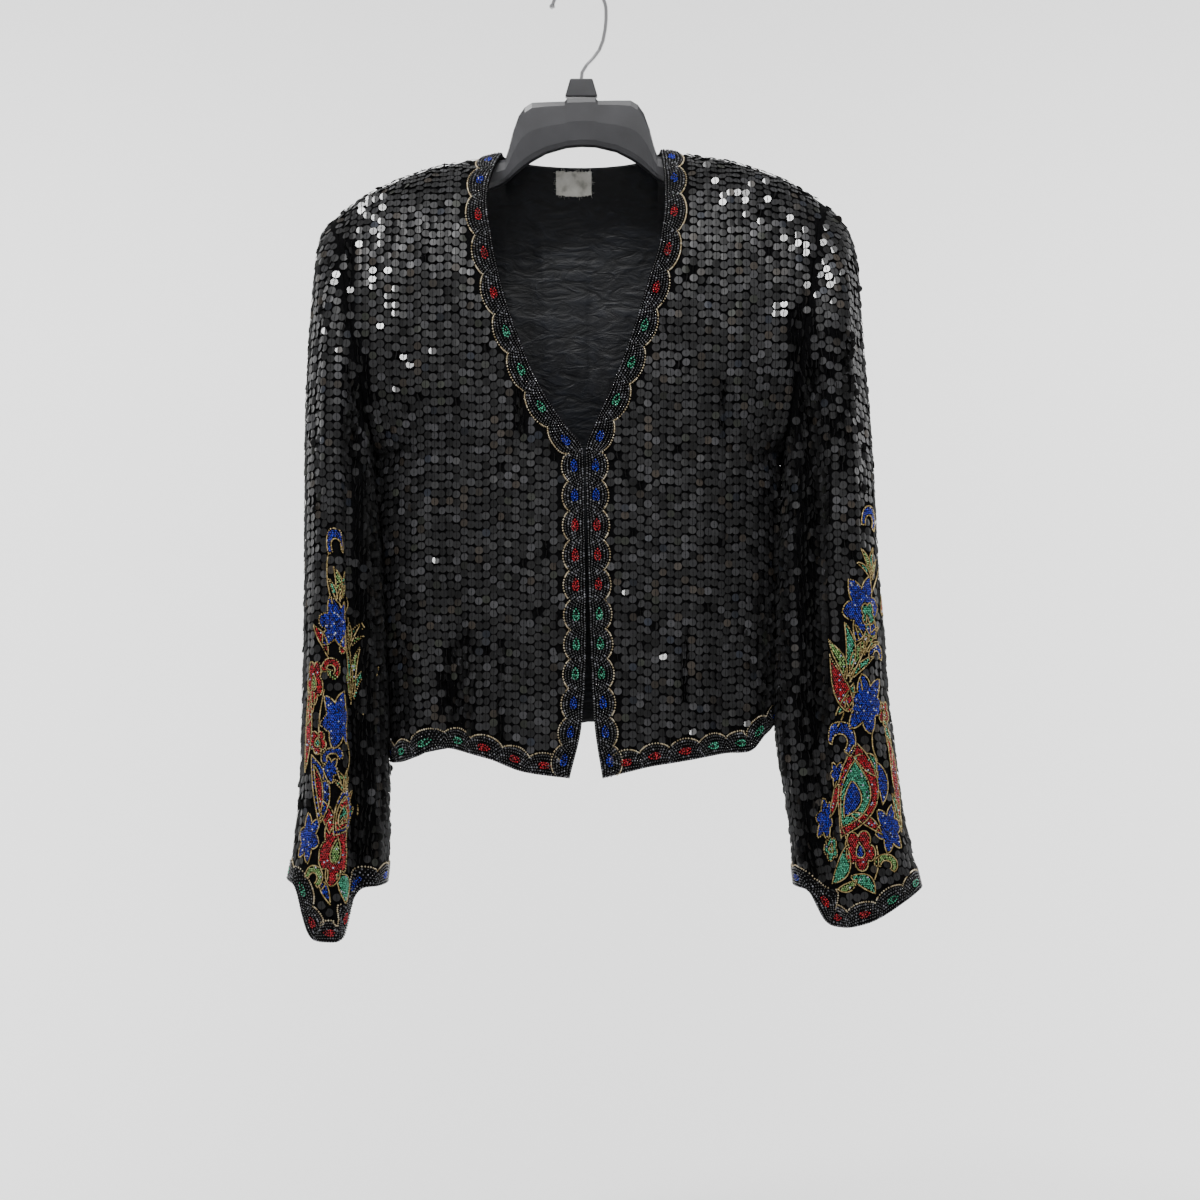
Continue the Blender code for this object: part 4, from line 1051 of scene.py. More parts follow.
def gold_finish():
    """Metal-lined rocailles couched in lines, gold or champagne: bright on top and brown between."""
    return material("gold rocailles", lambda tree: {
        "Base Color": clouded(tree, 260.0, 2.0, (0.3, "#c0b8a8"), (0.6, "#ffffff")),
        "Metallic": 0.6,
        "Roughness": 0.25,
    })


def felt_finish():
    """Black beading felt under the seed beads, dull and fibrous."""

    def dress(tree):
        fibres = noise(tree, 1200.0, 4.0)
        return {
            "Base Color": ramp(tree, fibres, (0.3, "#040404"), (0.7, "#0d0d0e")),
            "Roughness": 0.95,
            "IOR": 1.15,
            "Normal": bump(tree, fibres, 0.6, 0.0003),
        }

    return material("black beading felt", dress)


def tape_finish():
    """Woven polyester label tape, off-white, with its close ribs and a few grey smudges of age."""
    smudges = ((0.28, "#a7a59c"), (0.45, "#d9d7cf"), (0.7, "#ecebe4"))
    return material("white woven tape", lambda tree: {
        "Base Color": ramp(tree, noise(tree, 110.0, 4.0), *smudges),
        "Roughness": 0.8,
        "Normal": bump(tree, wave(tree, 420.0, 0.4), 0.4, 0.0002),
    })


def hanger_finish():
    """Injection-moulded black polystyrene: an even soft sheen over a fine moulded grain, faintly scuffed."""

    def dress(tree):
        scuff = noise(tree, 26.0, 6.0)
        return {
            "Base Color": ramp(tree, scuff, (0.3, "#2a2a2c"), (0.7, "#353538")),
            "Roughness": mapped(tree, scuff, (0.0, 1.0), (0.26, 0.4)),
            "IOR": 1.45,
            "Normal": bump(tree, noise(tree, 1500.0, 2.0), 0.12, 0.0002),
        }

    return material("moulded black polystyrene", dress)


def chrome_finish():
    """Drawn steel wire, chrome plated: mirror bright with faint drawing lines."""
    return material("chrome plated wire", lambda tree: {
        "Base Color": srgb("#c6c6c8"),
        "Metallic": 1.0,
        "Roughness": mapped(tree, noise(tree, 500.0, 2.0), (0.0, 1.0), (0.08, 0.2)),
    })


def backdrop_finish():
    """Seamless paper, near white and matt."""
    return material("white seamless paper", lambda tree: {"Base Color": srgb("#f6f6f6"), "Roughness": 0.95})


@lru_cache(maxsize=None)
def finish(maker):
    """The material that a function makes, made once."""
    return maker()


BEAD_COLOURS = {
    "black": ("#0b0b0c", "#242427"),
    # grey: lighter beads among the black ones, painted highlights
    "grey": ("#37373a", "#77777d"),
    "blue": ("#080a58", "#1f31d0"),
    "red": ("#6c0610", "#d81c2c"),
    "green": ("#1a7350", "#5ccfa6"),
    "leaf": ("#5f9a4a", "#a9c27a"),
    "gold": ("#94804a", "#dac694"),
    "champagne": ("#b9a785", "#eadfc6"),
    # Pale beads scattered through the flowers: painted glints
    "spark": ("#8f9ad0", "#e6e9ff"),
}


def mixed_tints(names, rng):
    """A colour for each bead, between the two of its name."""
    pairs = {name: [np.array(srgb(code)) for code in codes] for name, codes in BEAD_COLOURS.items()}
    share = rng.random((len(names), 1))
    low = np.array([pairs[name][0] for name in names])
    high = np.array([pairs[name][1] for name in names])
    return low + (high - low) * share


def bead_mesh(name, centres, normals, radii, tints):
    """One mesh of small beads, each of eight faces shaded round. Sizes in millimetres."""
    centres, normals = np.asarray(centres, float), unit(np.asarray(normals, float))
    count = len(centres)
    helper = np.where(np.abs(normals[:, 2:]) < 0.8, [[0.0, 0.0, 1.0]], [[1.0, 0.0, 0.0]])
    first = unit(np.cross(helper, normals))
    second = np.cross(normals, first)
    r = np.asarray(radii, float).reshape(-1, 1) * np.ones((count, 1))
    arms = [first * r, second * r, -first * r, -second * r, normals * r * 0.9, -normals * r * 0.9]
    points = np.stack([centres + arm for arm in arms], axis=1).reshape(-1, 3) * MM
    faces = [(0, 1, 4), (1, 2, 4), (2, 3, 4), (3, 0, 4), (1, 0, 5), (2, 1, 5), (3, 2, 5), (0, 3, 5)]
    corners = (np.arange(count)[:, None, None] * 6 + np.array(faces)[None]).reshape(-1)
    mesh = mesh_of(name, points, corners, 3)
    mesh.shade_smooth()
    paint(mesh, "tint", np.repeat(tints, len(faces) * 3, axis=0))
    return mesh


def mesh_of(name, points, corners, sides):
    """Mesh whose faces all have the same number of corners."""
    mesh = bpy.data.meshes.new(name)
    mesh.vertices.add(len(points))
    mesh.vertices.foreach_set("co", np.asarray(points, np.float32).reshape(-1))
    mesh.loops.add(len(corners))
    mesh.loops.foreach_set("vertex_index", np.asarray(corners, np.int32))
    count = len(corners) // sides
    mesh.polygons.add(count)
    mesh.polygons.foreach_set("loop_start", np.arange(count, dtype=np.int32) * sides)
    mesh.update(calc_edges=True)
    return mesh


def paint(mesh, name, colours):
    """Colour attribute at the corners of a mesh."""
    layer = mesh.color_attributes.new(name, "FLOAT_COLOR", "CORNER")
    layer.data.foreach_set("color", np.asarray(colours, np.float32).reshape(-1))


def thinned(points, gap):
    """Indices of the points left when each one closer than gap to an earlier one is dropped."""
    kept, cells = [], {}
    for i, point in enumerate(points):
        cell = tuple(int(math.floor(c / gap)) for c in point)
        near = (
            other
            for dx in (-1, 0, 1)
            for dy in (-1, 0, 1)
            for dz in (-1, 0, 1)
            for other in cells.get((cell[0] + dx, cell[1] + dy, cell[2] + dz), ())
        )
        if all(np.sum((points[other] - point) ** 2) >= gap * gap for other in near):
            cells.setdefault(cell, []).append(i)
            kept.append(i)
    return np.array(kept, int)


class Beadwork:
    """Beads gathered for one panel: where each lies, which way it faces, its size and its colour."""

    def __init__(self):
        self.places, self.normals, self.radii, self.names = [], [], [], []

    def add(self, places, normals, radius, name):
        count = len(places)
        self.places += list(places)
        self.normals += list(normals)
        self.radii += np.broadcast_to(radius, count).tolist()
        self.names += [name] * count if isinstance(name, str) else list(name)

    def settle_down(self, gap):
        """Drops beads that would lie in an earlier one."""
        kept = thinned(np.array(self.places), gap)
        for part in ("places", "normals", "radii", "names"):
            values = getattr(self, part)
            setattr(self, part, [values[i] for i in kept])


def edge_of(line, normals, hint):
    """All that the border needs to know of an edge: its points, distances along it, ways in and normals."""
    inward = unit(np.cross(normals, unit(np.gradient(line, axis=0))))
    flip = np.sign(np.sum(inward * hint, axis=1, keepdims=True))
    return line, length_along(line), inward * np.where(flip == 0, 1, flip), normals


def on_edge(line, along, inward, at, into):
    """Points beside an edge: at is the distance along it, into the distance from it."""
    return along_line(at, along, line) + unit(along_line(at, along, inward)) * np.asarray(into)[:, None]


def snapped(tree, points, normals_like):
    """Nearest places on the cloth to the points, and the cloth's normals there."""
    places, normals = [], []
    for point, like in zip(points, normals_like):
        place, normal = tree.find_nearest(Vector(point))[:2]
        if normal.dot(Vector(like)) < 0:
            normal = -normal
        places.append(place)
        normals.append(normal)
    return np.array(places), np.array(normals)


def band_width(phase):
    """Width of the scalloped band at a place in its scallop, from 0 to 1."""
    return BAND_WIDTH + SCALLOP_RISE * np.sin(math.pi * np.clip(phase, 0, 1)) ** 0.6


def paisley(filled):
    """Bead places of a small curl, along and across the band from its middle."""
    turns = np.linspace(0, 2 * math.pi, 15)[:-1]
    along = 4.6 * np.cos(turns) + 0.4
    across = 2.7 * np.sin(turns) * (0.45 + 0.55 * np.abs(np.sin(turns / 2)))
    rim = np.stack([along, across], axis=1)
    curl = np.array([(-0.4, 0.9), (-1.6, 0.2), (-0.9, -0.9)])
    body = np.array([(-2.6, 0.2), (1.1, 0.0), (2.4, 0.0), (0.2, -0.4), (-2.9, 1.2), (-2.9, -1.0)])
    return np.concatenate([rim, curl, body]) if filled else np.concatenate([rim, curl])


def border_stretch(work, ground, surface_tree, edge, stretch, scallops, colour_of, flip=1):
    """Beads and ground of a run of scallops: stretch is its start and end along the edge."""
    line, along, inward, outward = edge
    beads = bpy.context.scene.jacket_beads
    size, step = beads.seed * RADIUS, beads.seed * METRE
    rng = np.random.default_rng(scallops)
    start, end = stretch
    pitch = (end - start) / scallops
    lift = BORDER_LIFT + size * 0.75

    def lay(at, into):
        return snapped(surface_tree, on_edge(line, along, inward, at, into), along_line(at, along, outward))

    for n in range(scallops):
        middle = start + (n + 0.5) * pitch
        name = colour_of(n)
        curl = paisley(name != "green")
        at, into = middle + flip * curl[:, 0], band_width(0.5) * CURL_PLACE + curl[:, 1]
        places, normals = lay(at, into)
        work.add(places + normals * (lift + 0.35), normals, beads.curl * RADIUS, name)
        if name == "green":
            dark = np.array([(1.2, 0.0), (-2.4, 0.6), (2.2, 0.1)])
            places, normals = lay(middle + flip * dark[:, 0], band_width(0.5) * CURL_PLACE + dark[:, 1])
            work.add(places + normals * lift, normals, size * 0.8, "black")
    at = np.arange(start, end, GOLD_STEP)
    phase = (at - start) / pitch % 1
    places, normals = lay(at, band_width(phase) + 0.9)
    work.add(places + normals * 0.9, normals, CHAMPAGNE_WIDTH / 2, "champagne")
    for row in range(BEAD_ROWS):
        at = np.arange(start + step * 0.5 * (row % 2), end, step)
        phase = (at - start) / pitch % 1
        share = (row + 0.5) / BEAD_ROWS
        places, normals = lay(at, band_width(phase) * share)
        # Some beads are grey: painted highlights along the black rows
        names = np.where(rng.random(len(at)) < PAINTED_HIGHLIGHT_BEADS, "grey", "black")
        work.add(places + normals * lift, normals, size, names.tolist())
    at = np.linspace(start, end, scallops * 10 + 1)
    phase = (at - start) / pitch % 1
    columns = [lay(at, band_width(phase) * share + 0.02) for share in np.linspace(0, 1, 6)]
    grid, normals = (np.array(part) for part in zip(*columns))
    ground.append((grid + normals * BORDER_LIFT, normals))


def colour_cycle(first):
    """Blue, red and green in threes along a border, from a place in the cycle."""
    return lambda n: BORDER_COLOURS[((first + n) // 3) % 3]


def ground_piece(name, strips):
    """Felt ground of a border as one closed shell for each of its strips."""
    points, faces = [], []
    for grid, normals in strips:
        rows, columns = grid.shape[:2]
        outer, inner, rims = wall_faces(rows, columns, False)
        layer = np.concatenate([grid.reshape(-1, 3), (grid - normals * FELT_WALL).reshape(-1, 3)])
        fresh = outer + inner + rims
        a, b, c = grid[0, 0], grid[0, 1], grid[1, 1]
        if np.dot(np.cross(b - a, c - b), normals[0, 0]) < 0:
            fresh = [tuple(reversed(face)) for face in fresh]
        faces += [tuple(len(points) + corner for corner in face) for face in fresh]
        points += (layer * MM).tolist()
    mesh = bpy.data.meshes.new(name)
    mesh.from_pydata(points, [], faces)
    mesh.shade_smooth()
    mesh.materials.append(finish(felt_finish))
    return link(name, mesh)


def bead_pieces(name, work, rng):
    """Glass beads and gold beads of one panel as two joined pieces."""
    names = np.array(work.names)
    places, normals = np.array(work.places), np.array(work.normals)
    radii = np.array(work.radii) * rng.uniform(0.92, 1.06, len(names))
    gold = (names == "gold") | (names == "champagne")
    made = []
    for kind, maker, which in (("glass", glass_finish, ~gold), ("gold", gold_finish, gold)):
        tints = mixed_tints(list(names[which]), rng)
        mesh = bead_mesh(f"{name}_{kind}", places[which], normals[which], radii[which], tints)
        mesh.materials.append(finish(maker))
        made.append(settle(link(f"{name}_{kind}", mesh)))
    return made


def front_beads(side):
    """Border of a front: up its free edge to the shoulder and along its hem."""
    grid, normals = body_cloth(side, "front")
    tree = tree_of_grid(grid)
    work, ground = Beadwork(), []
    point = FINE_LOW_ROWS - 1
    free = edge_of(grid[:, 0], normals[:, 1], grid[:, 4] - grid[:, 0])
    turn = free[1][point]
    total = CENTRE_SCALLOPS + NECK_SCALLOPS
    order = lambda n: BORDER_COLOURS[((total - n) // 3) % 3]
    border_stretch(work, ground, tree, free, (0.8, turn), CENTRE_SCALLOPS, order)
    upper = lambda n: order(n + CENTRE_SCALLOPS)
    border_stretch(work, ground, tree, free, (turn, free[1][-1] - 1.0), NECK_SCALLOPS, upper)
    hem = edge_of(grid[0], normals[1], grid[4] - grid[0])
    below = lambda n: BORDER_COLOURS[((total + 1 + n) // 3) % 3]
    border_stretch(work, ground, tree, hem, (CORNER_START, hem[1][-1] - 2.0), HEM_SCALLOPS, below, flip=-1)
    work.settle_down(BEAD_GAP)
    return work, ground


def back_beads():
    """Borders of the back: its hem, and round its neck."""
    grid, normals = back_cloth()
    tree = tree_of_grid(grid)
    hem_work, hem_ground, neck_work, neck_ground = Beadwork(), [], Beadwork(), []
    hem = edge_of(grid[0], normals[1], grid[4] - grid[0])
    ends = (2.0, hem[1][-1] - 2.0)
    border_stretch(hem_work, hem_ground, tree, hem, ends, BACK_HEM_SCALLOPS, colour_cycle(1))
    middle = grid.shape[1] // 2
    reach = round((FINE_COLUMNS - 1) * BACK_NECK_COLUMNS / BODY_COLUMNS)
    part = slice(middle - reach, middle + reach + 1)
    neck = edge_of(grid[-1, part], normals[-2, part], grid[-5, part] - grid[-1, part])
    ends = (1.5, neck[1][-1] - 1.5)
    border_stretch(neck_work, neck_ground, tree, neck, ends, BACK_NECK_SCALLOPS, colour_cycle(0))
    hem_work.settle_down(BEAD_GAP)
    neck_work.settle_down(BEAD_GAP)
    return hem_work, hem_ground, neck_work, neck_ground


def cuff_beads(side):
    """Border round a cuff, its scallops pointing up the sleeve."""
    grid, normals = sleeve_cloth(side)
    closed = np.concatenate([grid, grid[:, :1]], axis=1)
    closed_normals = np.concatenate([normals, normals[:, :1]], axis=1)
    tree = tree_of_grid(grid, wrap=True)
    work, ground = Beadwork(), []
    ring = edge_of(closed[-1], closed_normals[-2], closed[-5] - closed[-1])
    first = 1 if side == "right" else 2
    border_stretch(work, ground, tree, ring, (0.0, ring[1][-1]), CUFF_SCALLOPS, colour_cycle(first))
    return work, ground


def star_shape(points):
    """Outline with pointed petals, one unit across each way."""
    turns = np.linspace(0, 2 * math.pi, points * 8 + 1)[:-1]
    peak = 1 - np.abs((turns * points / (2 * math.pi)) % 1 * 2 - 1)
    reach = 0.29 + 0.21 * peak**0.9 * (1 + 0.12 * np.cos(turns * 2))
    return np.stack([reach * np.sin(turns), reach * np.cos(turns)], axis=1)


def lobed_shape(lobes):
    """Outline with round petals."""
    turns = np.linspace(0, 2 * math.pi, lobes * 8 + 1)[:-1]
    reach = 0.33 + 0.17 * np.abs(np.sin(turns * lobes / 2)) ** 0.7
    return np.stack([reach * np.sin(turns), reach * np.cos(turns)], axis=1)


def drop_shape():
    """Teardrop with its point upwards."""
    turns = np.linspace(0, 2 * math.pi, 25)[:-1]
    return np.stack([0.5 * np.sin(turns) * np.sin(turns / 2) ** 1.2, 0.5 * np.cos(turns)], axis=1)


def leaf_shape(bend):
    """Slim leaf, bent sideways by a share of its length."""
    share = np.linspace(0, 1, 13)
    middle = bend * (4 * share * (1 - share) - 0.5)
    half = 0.5 * np.sin(math.pi * share) ** 0.8 * (1 - abs(bend) * 0.5)
    left = np.stack([middle - half, share - 0.5], axis=1)
    right = np.stack([middle + half, share - 0.5], axis=1)[::-1]
    return np.concatenate([left, right[1:-1]])


def arch_shape():
    """Bud that curls over like the top of a cane, longer on one side."""
    outer = np.radians(np.linspace(-35, 205, 17))
    inner = outer[::-1]
    rim = np.stack([0.5 * np.cos(outer), 0.5 * np.sin(outer)], axis=1)
    hollow = np.stack([0.5 * 0.45 * np.cos(inner), 0.5 * 0.5 * np.sin(inner) - 0.06], axis=1)
    return np.concatenate([rim, hollow])


def shapes_of(motif):
    """Outlines of a motif in millimetres, each with its colour, outer ones first."""
    colours = motif.colours.split()
    size = np.array([motif.wide, motif.tall])
    if motif.kind == "star":
        parts = [(star_shape(6) * size, colours[0])]
        if len(colours) > 1:
            parts.append((lobed_shape(4) * size * 0.36 + np.array([0.1, -0.08]) * size, colours[1]))
    elif motif.kind == "lobes":
        parts = [(lobed_shape(5) * size, colours[0]), (drop_shape() * size * 0.36, colours[1])]
    elif motif.kind == "drop":
        parts = [(drop_shape() * size, colours[0])]
    elif motif.kind == "arch":
        parts = [(arch_shape() * size, colours[0])]
    elif motif.kind == "fan":
        parts = []
        for scale, colour in zip((1.0, 0.7, 0.38), colours):
            foot = np.array([0, -0.12 * (1 - scale)]) * size
            parts.append((leaf_shape(0.25) * size * scale + foot, colour))
    elif motif.kind == "leaf":
        parts = [(leaf_shape(0.3) * size, colours[0])]
        if len(colours) > 1:
            parts.append((leaf_shape(0.3) * size * np.array([0.42, 0.7]), colours[1]))
    else:
        parts = []
        for lean, share, colour in ((-38, 0.8, 0), (-12, 1.0, 1), (16, 0.95, 0), (40, 0.7, 1)):
            blade = (leaf_shape(0.5 if lean < 0 else -0.5) + np.array([0, 0.5])) * np.array([0.24, 1.0])
            blade = blade * motif.tall * share * np.array([0.9, 0.92])
            parts.append((turned_by(blade, lean) - np.array([0, motif.tall * 0.45]), colours[colour]))
    return [(turned_by(shape, motif.turn), colour) for shape, colour in parts]


def turned_by(points, degrees):
    """Flat points turned clockwise about their origin."""
    c, s = math.cos(math.radians(degrees)), math.sin(math.radians(degrees))
    return np.stack([points[:, 0] * c + points[:, 1] * s, points[:, 1] * c - points[:, 0] * s], axis=1)


def within(points, outline):
    """Which flat points lie inside an outline."""
    inside = np.zeros(len(points), bool)
    ahead = np.roll(outline, -1, axis=0)
    for (x0, y0), (x1, y1) in zip(outline, ahead):
        crosses = (y0 > points[:, 1]) != (y1 > points[:, 1])
        if crosses.any():
            at = x0 + (points[:, 1] - y0) / (y1 - y0 if y1 != y0 else 1e-9) * (x1 - x0)
            inside ^= crosses & (points[:, 0] < at)
    return inside


def along_outline(outline, step):
    """Places at even steps along an outline."""
    line = np.concatenate([outline, outline[:1]])
    along = np.concatenate([[0], np.cumsum(np.hypot(*np.diff(line, axis=0).T))])
    at = np.linspace(0, along[-1], max(3, round(along[-1] / step)) + 1)[:-1]
    return along_line(at, along, line)


def flat_fill(outline, step, rng):
    """Bead places inside an outline, in offset rows, slightly uneven."""
    low, high = outline.min(axis=0), outline.max(axis=0)
    rows = np.arange(low[1], high[1], step * 0.87)
    columns = np.arange(low[0], high[0], step)
    places = [(x + (i % 2) * step / 2, y) for i, y in enumerate(rows) for x in columns]
    if not places:
        return np.zeros((0, 2))
    places = np.array(places) + rng.normal(0, 0.12, (len(places), 2))
    return places[within(places, outline)]


def spread_on(tree, centre, normal, flat):
    """Flat places laid on the cloth round a centre, x to the viewer's right and y up."""
    normal = np.array(normal)
    up = unit(np.array([0.0, 0.0, 1.0]) - normal * normal[2])
    across = np.cross(up, normal)
    points = np.array(centre) + flat[:, :1] * across + flat[:, 1:] * up
    return snapped(tree, points, np.repeat(normal[None], len(points), axis=0))


def stem_on(tree, stem, behind):
    """Places of a stem's gold beads on the front of a sleeve, or behind it."""
    share = np.linspace(0, 1, 14)
    sway = stem.bow * np.sin(math.pi * share)
    across = stem.from_across + (stem.to_across - stem.from_across) * share + sway
    down = stem.from_down + (stem.to_down - stem.from_down) * share
    trail = [place_on(tree, px, py, behind)[0] for px, py in zip(across, down)]
    trail = np.array([place for place in trail if place is not None])
    if len(trail) < 3:
        return []
    along = length_along(trail)
    return along_line(np.arange(0, along[-1], GOLD_STEP), along, trail)


def place_on(tree, across, down, behind):
    """Where a pixel's ray meets a sleeve, or the sleeve's back behind that place, and the normal there."""
    place, normal = tree.ray_cast(*photo_ray(across, down))[:2]
    if place is not None and behind:
        place, normal = tree.ray_cast(Vector((place.x, BEHIND, place.z)), Vector((0, -1, 0)))[:2]
    return place, normal


def flower_beads(side, rng):
    """Flowers, leaves and stems of a sleeve, front and back alike."""
    tree = tree_of_grid(sleeve_cloth(side)[0], wrap=True)
    beads = bpy.context.scene.jacket_beads
    lines, fills = Beadwork(), Beadwork()
    for behind, facing in ((False, -1), (True, 1)):
        for motif in MOTIFS[side]:
            place, normal = place_on(tree, motif.across, motif.down, behind)
            if place is None:
                continue
            if normal.dot(Vector((0, facing, 0))) < 0:
                normal = -normal
            parts = [(shape * np.array([-facing, 1]), colour) for shape, colour in shapes_of(motif)]
            for shape, _ in parts:
                places, normals = spread_on(tree, place, normal, along_outline(shape, GOLD_STEP))
                lines.add(places + normals * LINE_LIFT, normals, beads.gold * RADIUS, "gold")
            for shape, colour in parts:
                flat = flat_fill(shape, FILL_STEP, rng)
                inner = [other for other, _ in parts if other is not shape and within(other[:1], shape)[0]]
                for other in inner:
                    flat = flat[~within(flat, other)] if len(flat) else flat
                if len(flat):
                    places, normals = spread_on(tree, place, normal, flat)
                    # A few beads are pale: painted glints among the coloured ones
                    names = np.where(rng.random(len(flat)) < PAINTED_GLINT_SHARE, "spark", colour)
                    fills.add(places + normals * FILL_LIFT, normals, beads.fill * RADIUS, names.tolist())
        for stem in STEMS[side]:
            even = stem_on(tree, stem, behind)
            if len(even):
                places, normals = snapped(tree, even, [[0, facing, 0]] * len(even))
                lines.add(places + normals * LINE_LIFT, normals, beads.gold * RADIUS, "gold")
    work = Beadwork()
    for part in (lines, fills):
        work.add(part.places, part.normals, part.radii, part.names)
    work.settle_down(FLOWER_GAP)
    return work


def column_runs(grid, normals, start, step):
    """Sequin threads down a panel: runs of points at even distances round from the first column.

    Each run is its points, their normals and whether it lies between the usual threads.
    """
    flat = np.hypot(np.diff(grid[..., 0], axis=1), np.diff(grid[..., 1], axis=1))
    around = start[:, None] + np.concatenate([np.zeros((len(grid), 1)), np.cumsum(flat, axis=1)], axis=1)
    lowest, highest = around.min(), around.max()
    runs = []
    spacing = step / 2
    for k in range(int(lowest // spacing) - 1, int(highest // spacing) + 2):
        target = (k + 0.5) * spacing
        rows = np.flatnonzero((around[:, 0] <= target) & (around[:, -1] >= target))
        if len(rows) < 3:
            continue
        for piece in np.split(rows, np.flatnonzero(np.diff(rows) > 1) + 1):
            if len(piece) < 3:
                continue
            columns = np.array([np.interp(target, around[i], np.arange(grid.shape[1])) for i in piece])
            j = np.minimum(columns.astype(int), grid.shape[1] - 2)
            part = (columns - j)[:, None]
            points = grid[piece, j] * (1 - part) + grid[piece, j + 1] * part
            facing = normals[piece, j] * (1 - part) + normals[piece, j + 1] * part
            runs.append((points, unit(facing), bool(k % 2)))
    return runs


def level_grid(side, front):
    """Half of a sleeve on level rows, from its outer line round to its inner one, and its cuff's height."""
    grid, normals = sleeve_cloth(side)
    count = grid.shape[1]
    zero = count // 2
    order = [(zero + (-k if front else k)) % count for k in range(count // 2 + 1)]
    grid, normals = grid[:, order], normals[:, order]
    heights = np.arange(grid[..., 2].max() - 0.5, grid[..., 2].min(), -3.2)
    levels = np.full((len(heights), len(order), 3), np.nan)
    facing = np.full_like(levels, np.nan)
    for j in range(len(order)):
        z = grid[::-1, j, 2]
        for k in range(3):
            levels[:, j, k] = np.interp(heights, z, grid[::-1, j, k])
            facing[:, j, k] = np.interp(heights, z, normals[::-1, j, k])
        levels[:, j, 2] = heights
    top, foot = grid[0, :, 2], grid[-1, :, 2]
    return levels, facing, heights, top, foot


def sleeve_runs(side, step):
    """Sequin threads of a sleeve, hanging straight down from its shoulder."""
    return [run for front in (True, False) for run in column_runs_masked(*level_grid(side, front), step)]


def column_runs_masked(levels, facing, heights, top, foot, step):
    """Threads on level rows, kept where the sleeve has cloth at that height."""
    flat = np.hypot(np.diff(levels[..., 0], axis=1), np.diff(levels[..., 1], axis=1))
    around = np.concatenate([np.zeros((len(levels), 1)), np.cumsum(flat, axis=1)], axis=1)
    spacing = step / 2
    columns_at = np.arange(levels.shape[1])
    for k in range(int(around.max() // spacing) + 1):
        target = (k + 0.5) * spacing
        run_points, run_normals = [], []
        for i, height in enumerate(heights):
            ok = False
            if around[i, -1] >= target:
                column = np.interp(target, around[i], columns_at)
                high, low = np.interp(column, columns_at, top), np.interp(column, columns_at, foot)
                ok = low + 1.0 <= height <= high - 1.5
            if ok:
                j = min(int(column), levels.shape[1] - 2)
                part = column - j
                run_points.append(levels[i, j] * (1 - part) + levels[i, j + 1] * part)
                run_normals.append(facing[i, j] * (1 - part) + facing[i, j + 1] * part)
            if (not ok or i == len(heights) - 1) and run_points:
                if len(run_points) > 3:
                    yield np.array(run_points), unit(np.array(run_normals)), bool(k % 2)
                run_points, run_normals = [], []


def zone_share(zones, across, down):
    """Largest share among the zones that a pixel lies in."""
    share = np.zeros(len(across))
    for zone in zones:
        inside = (across > zone.left) & (across < zone.right) & (down > zone.top) & (down < zone.bottom)
        share = np.where(inside, np.maximum(share, zone.share), share)
    return share


def sequins_on(name, runs, keep_clear, seed):
    """One joined piece of all sequins of a panel, strung along its threads."""
    look = bpy.context.scene.jacket_sequins
    rng = np.random.default_rng(seed)
    pitch = look.pitch * METRE
    centres, normals, downs, between, turns = [], [], [], [], []
    drift = rng.random()
    for order, (points, facing, extra) in enumerate(runs):
        along = length_along(points)
        drift = (drift + rng.normal(0, 0.36)) % 1
        at = np.arange(pitch * (0.3 + drift * 0.7), along[-1] - 1.2, pitch)
        if not len(at):
            continue
        at = at + rng.normal(0, 0.32, len(at))
        place = along_line(at, along, points)
        run = along_line(at + 1, along, points) - place
        run = np.where(np.linalg.norm(run, axis=1, keepdims=True) < 1e-6, [[0, 0, -1.0]], run)
        centres.append(place)
        normals.append(unit(along_line(at, along, facing)))
        downs.append(run * np.where(run[:, 2:] > 0, -1, 1))
        between += [extra] * len(at)
        turns += [order % 2] * len(at)
    centres, normals, downs = (np.concatenate(part) for part in (centres, normals, downs))
    between, turns = np.array(between), np.array(turns)
    across, down = photo_place(centres)
    behind = normals[:, 1] > 0
    across = np.where(behind, 2 * PHOTO_MIDDLE - across, across)
    threads = rng.random(len(centres)) < np.maximum(zone_share(THREAD_ZONES, across, down), STRAY_THREAD)
    flash = rng.random(len(centres)) < np.maximum(zone_share(FLASH_ZONES, across, down), STRAY_FLASH)
    clear = np.array([keep_clear.find(centre)[2] > BEAD_CLEARANCE for centre in centres])
    keep = clear & (~between | threads)
    centres, normals, downs, turns = centres[keep], normals[keep], downs[keep], turns[keep]
    # On the outline a sequin standing on edge would stick out
    threads = threads[keep] & (np.abs(normals[:, 1]) > 0.4)
    flash = flash[keep] & ~threads
    mesh = sequin_mesh(name, centres, normals, downs, turns, threads, flash, rng)
    mesh.materials.append(finish(sequin_finish))
    return settle(link(name, mesh))


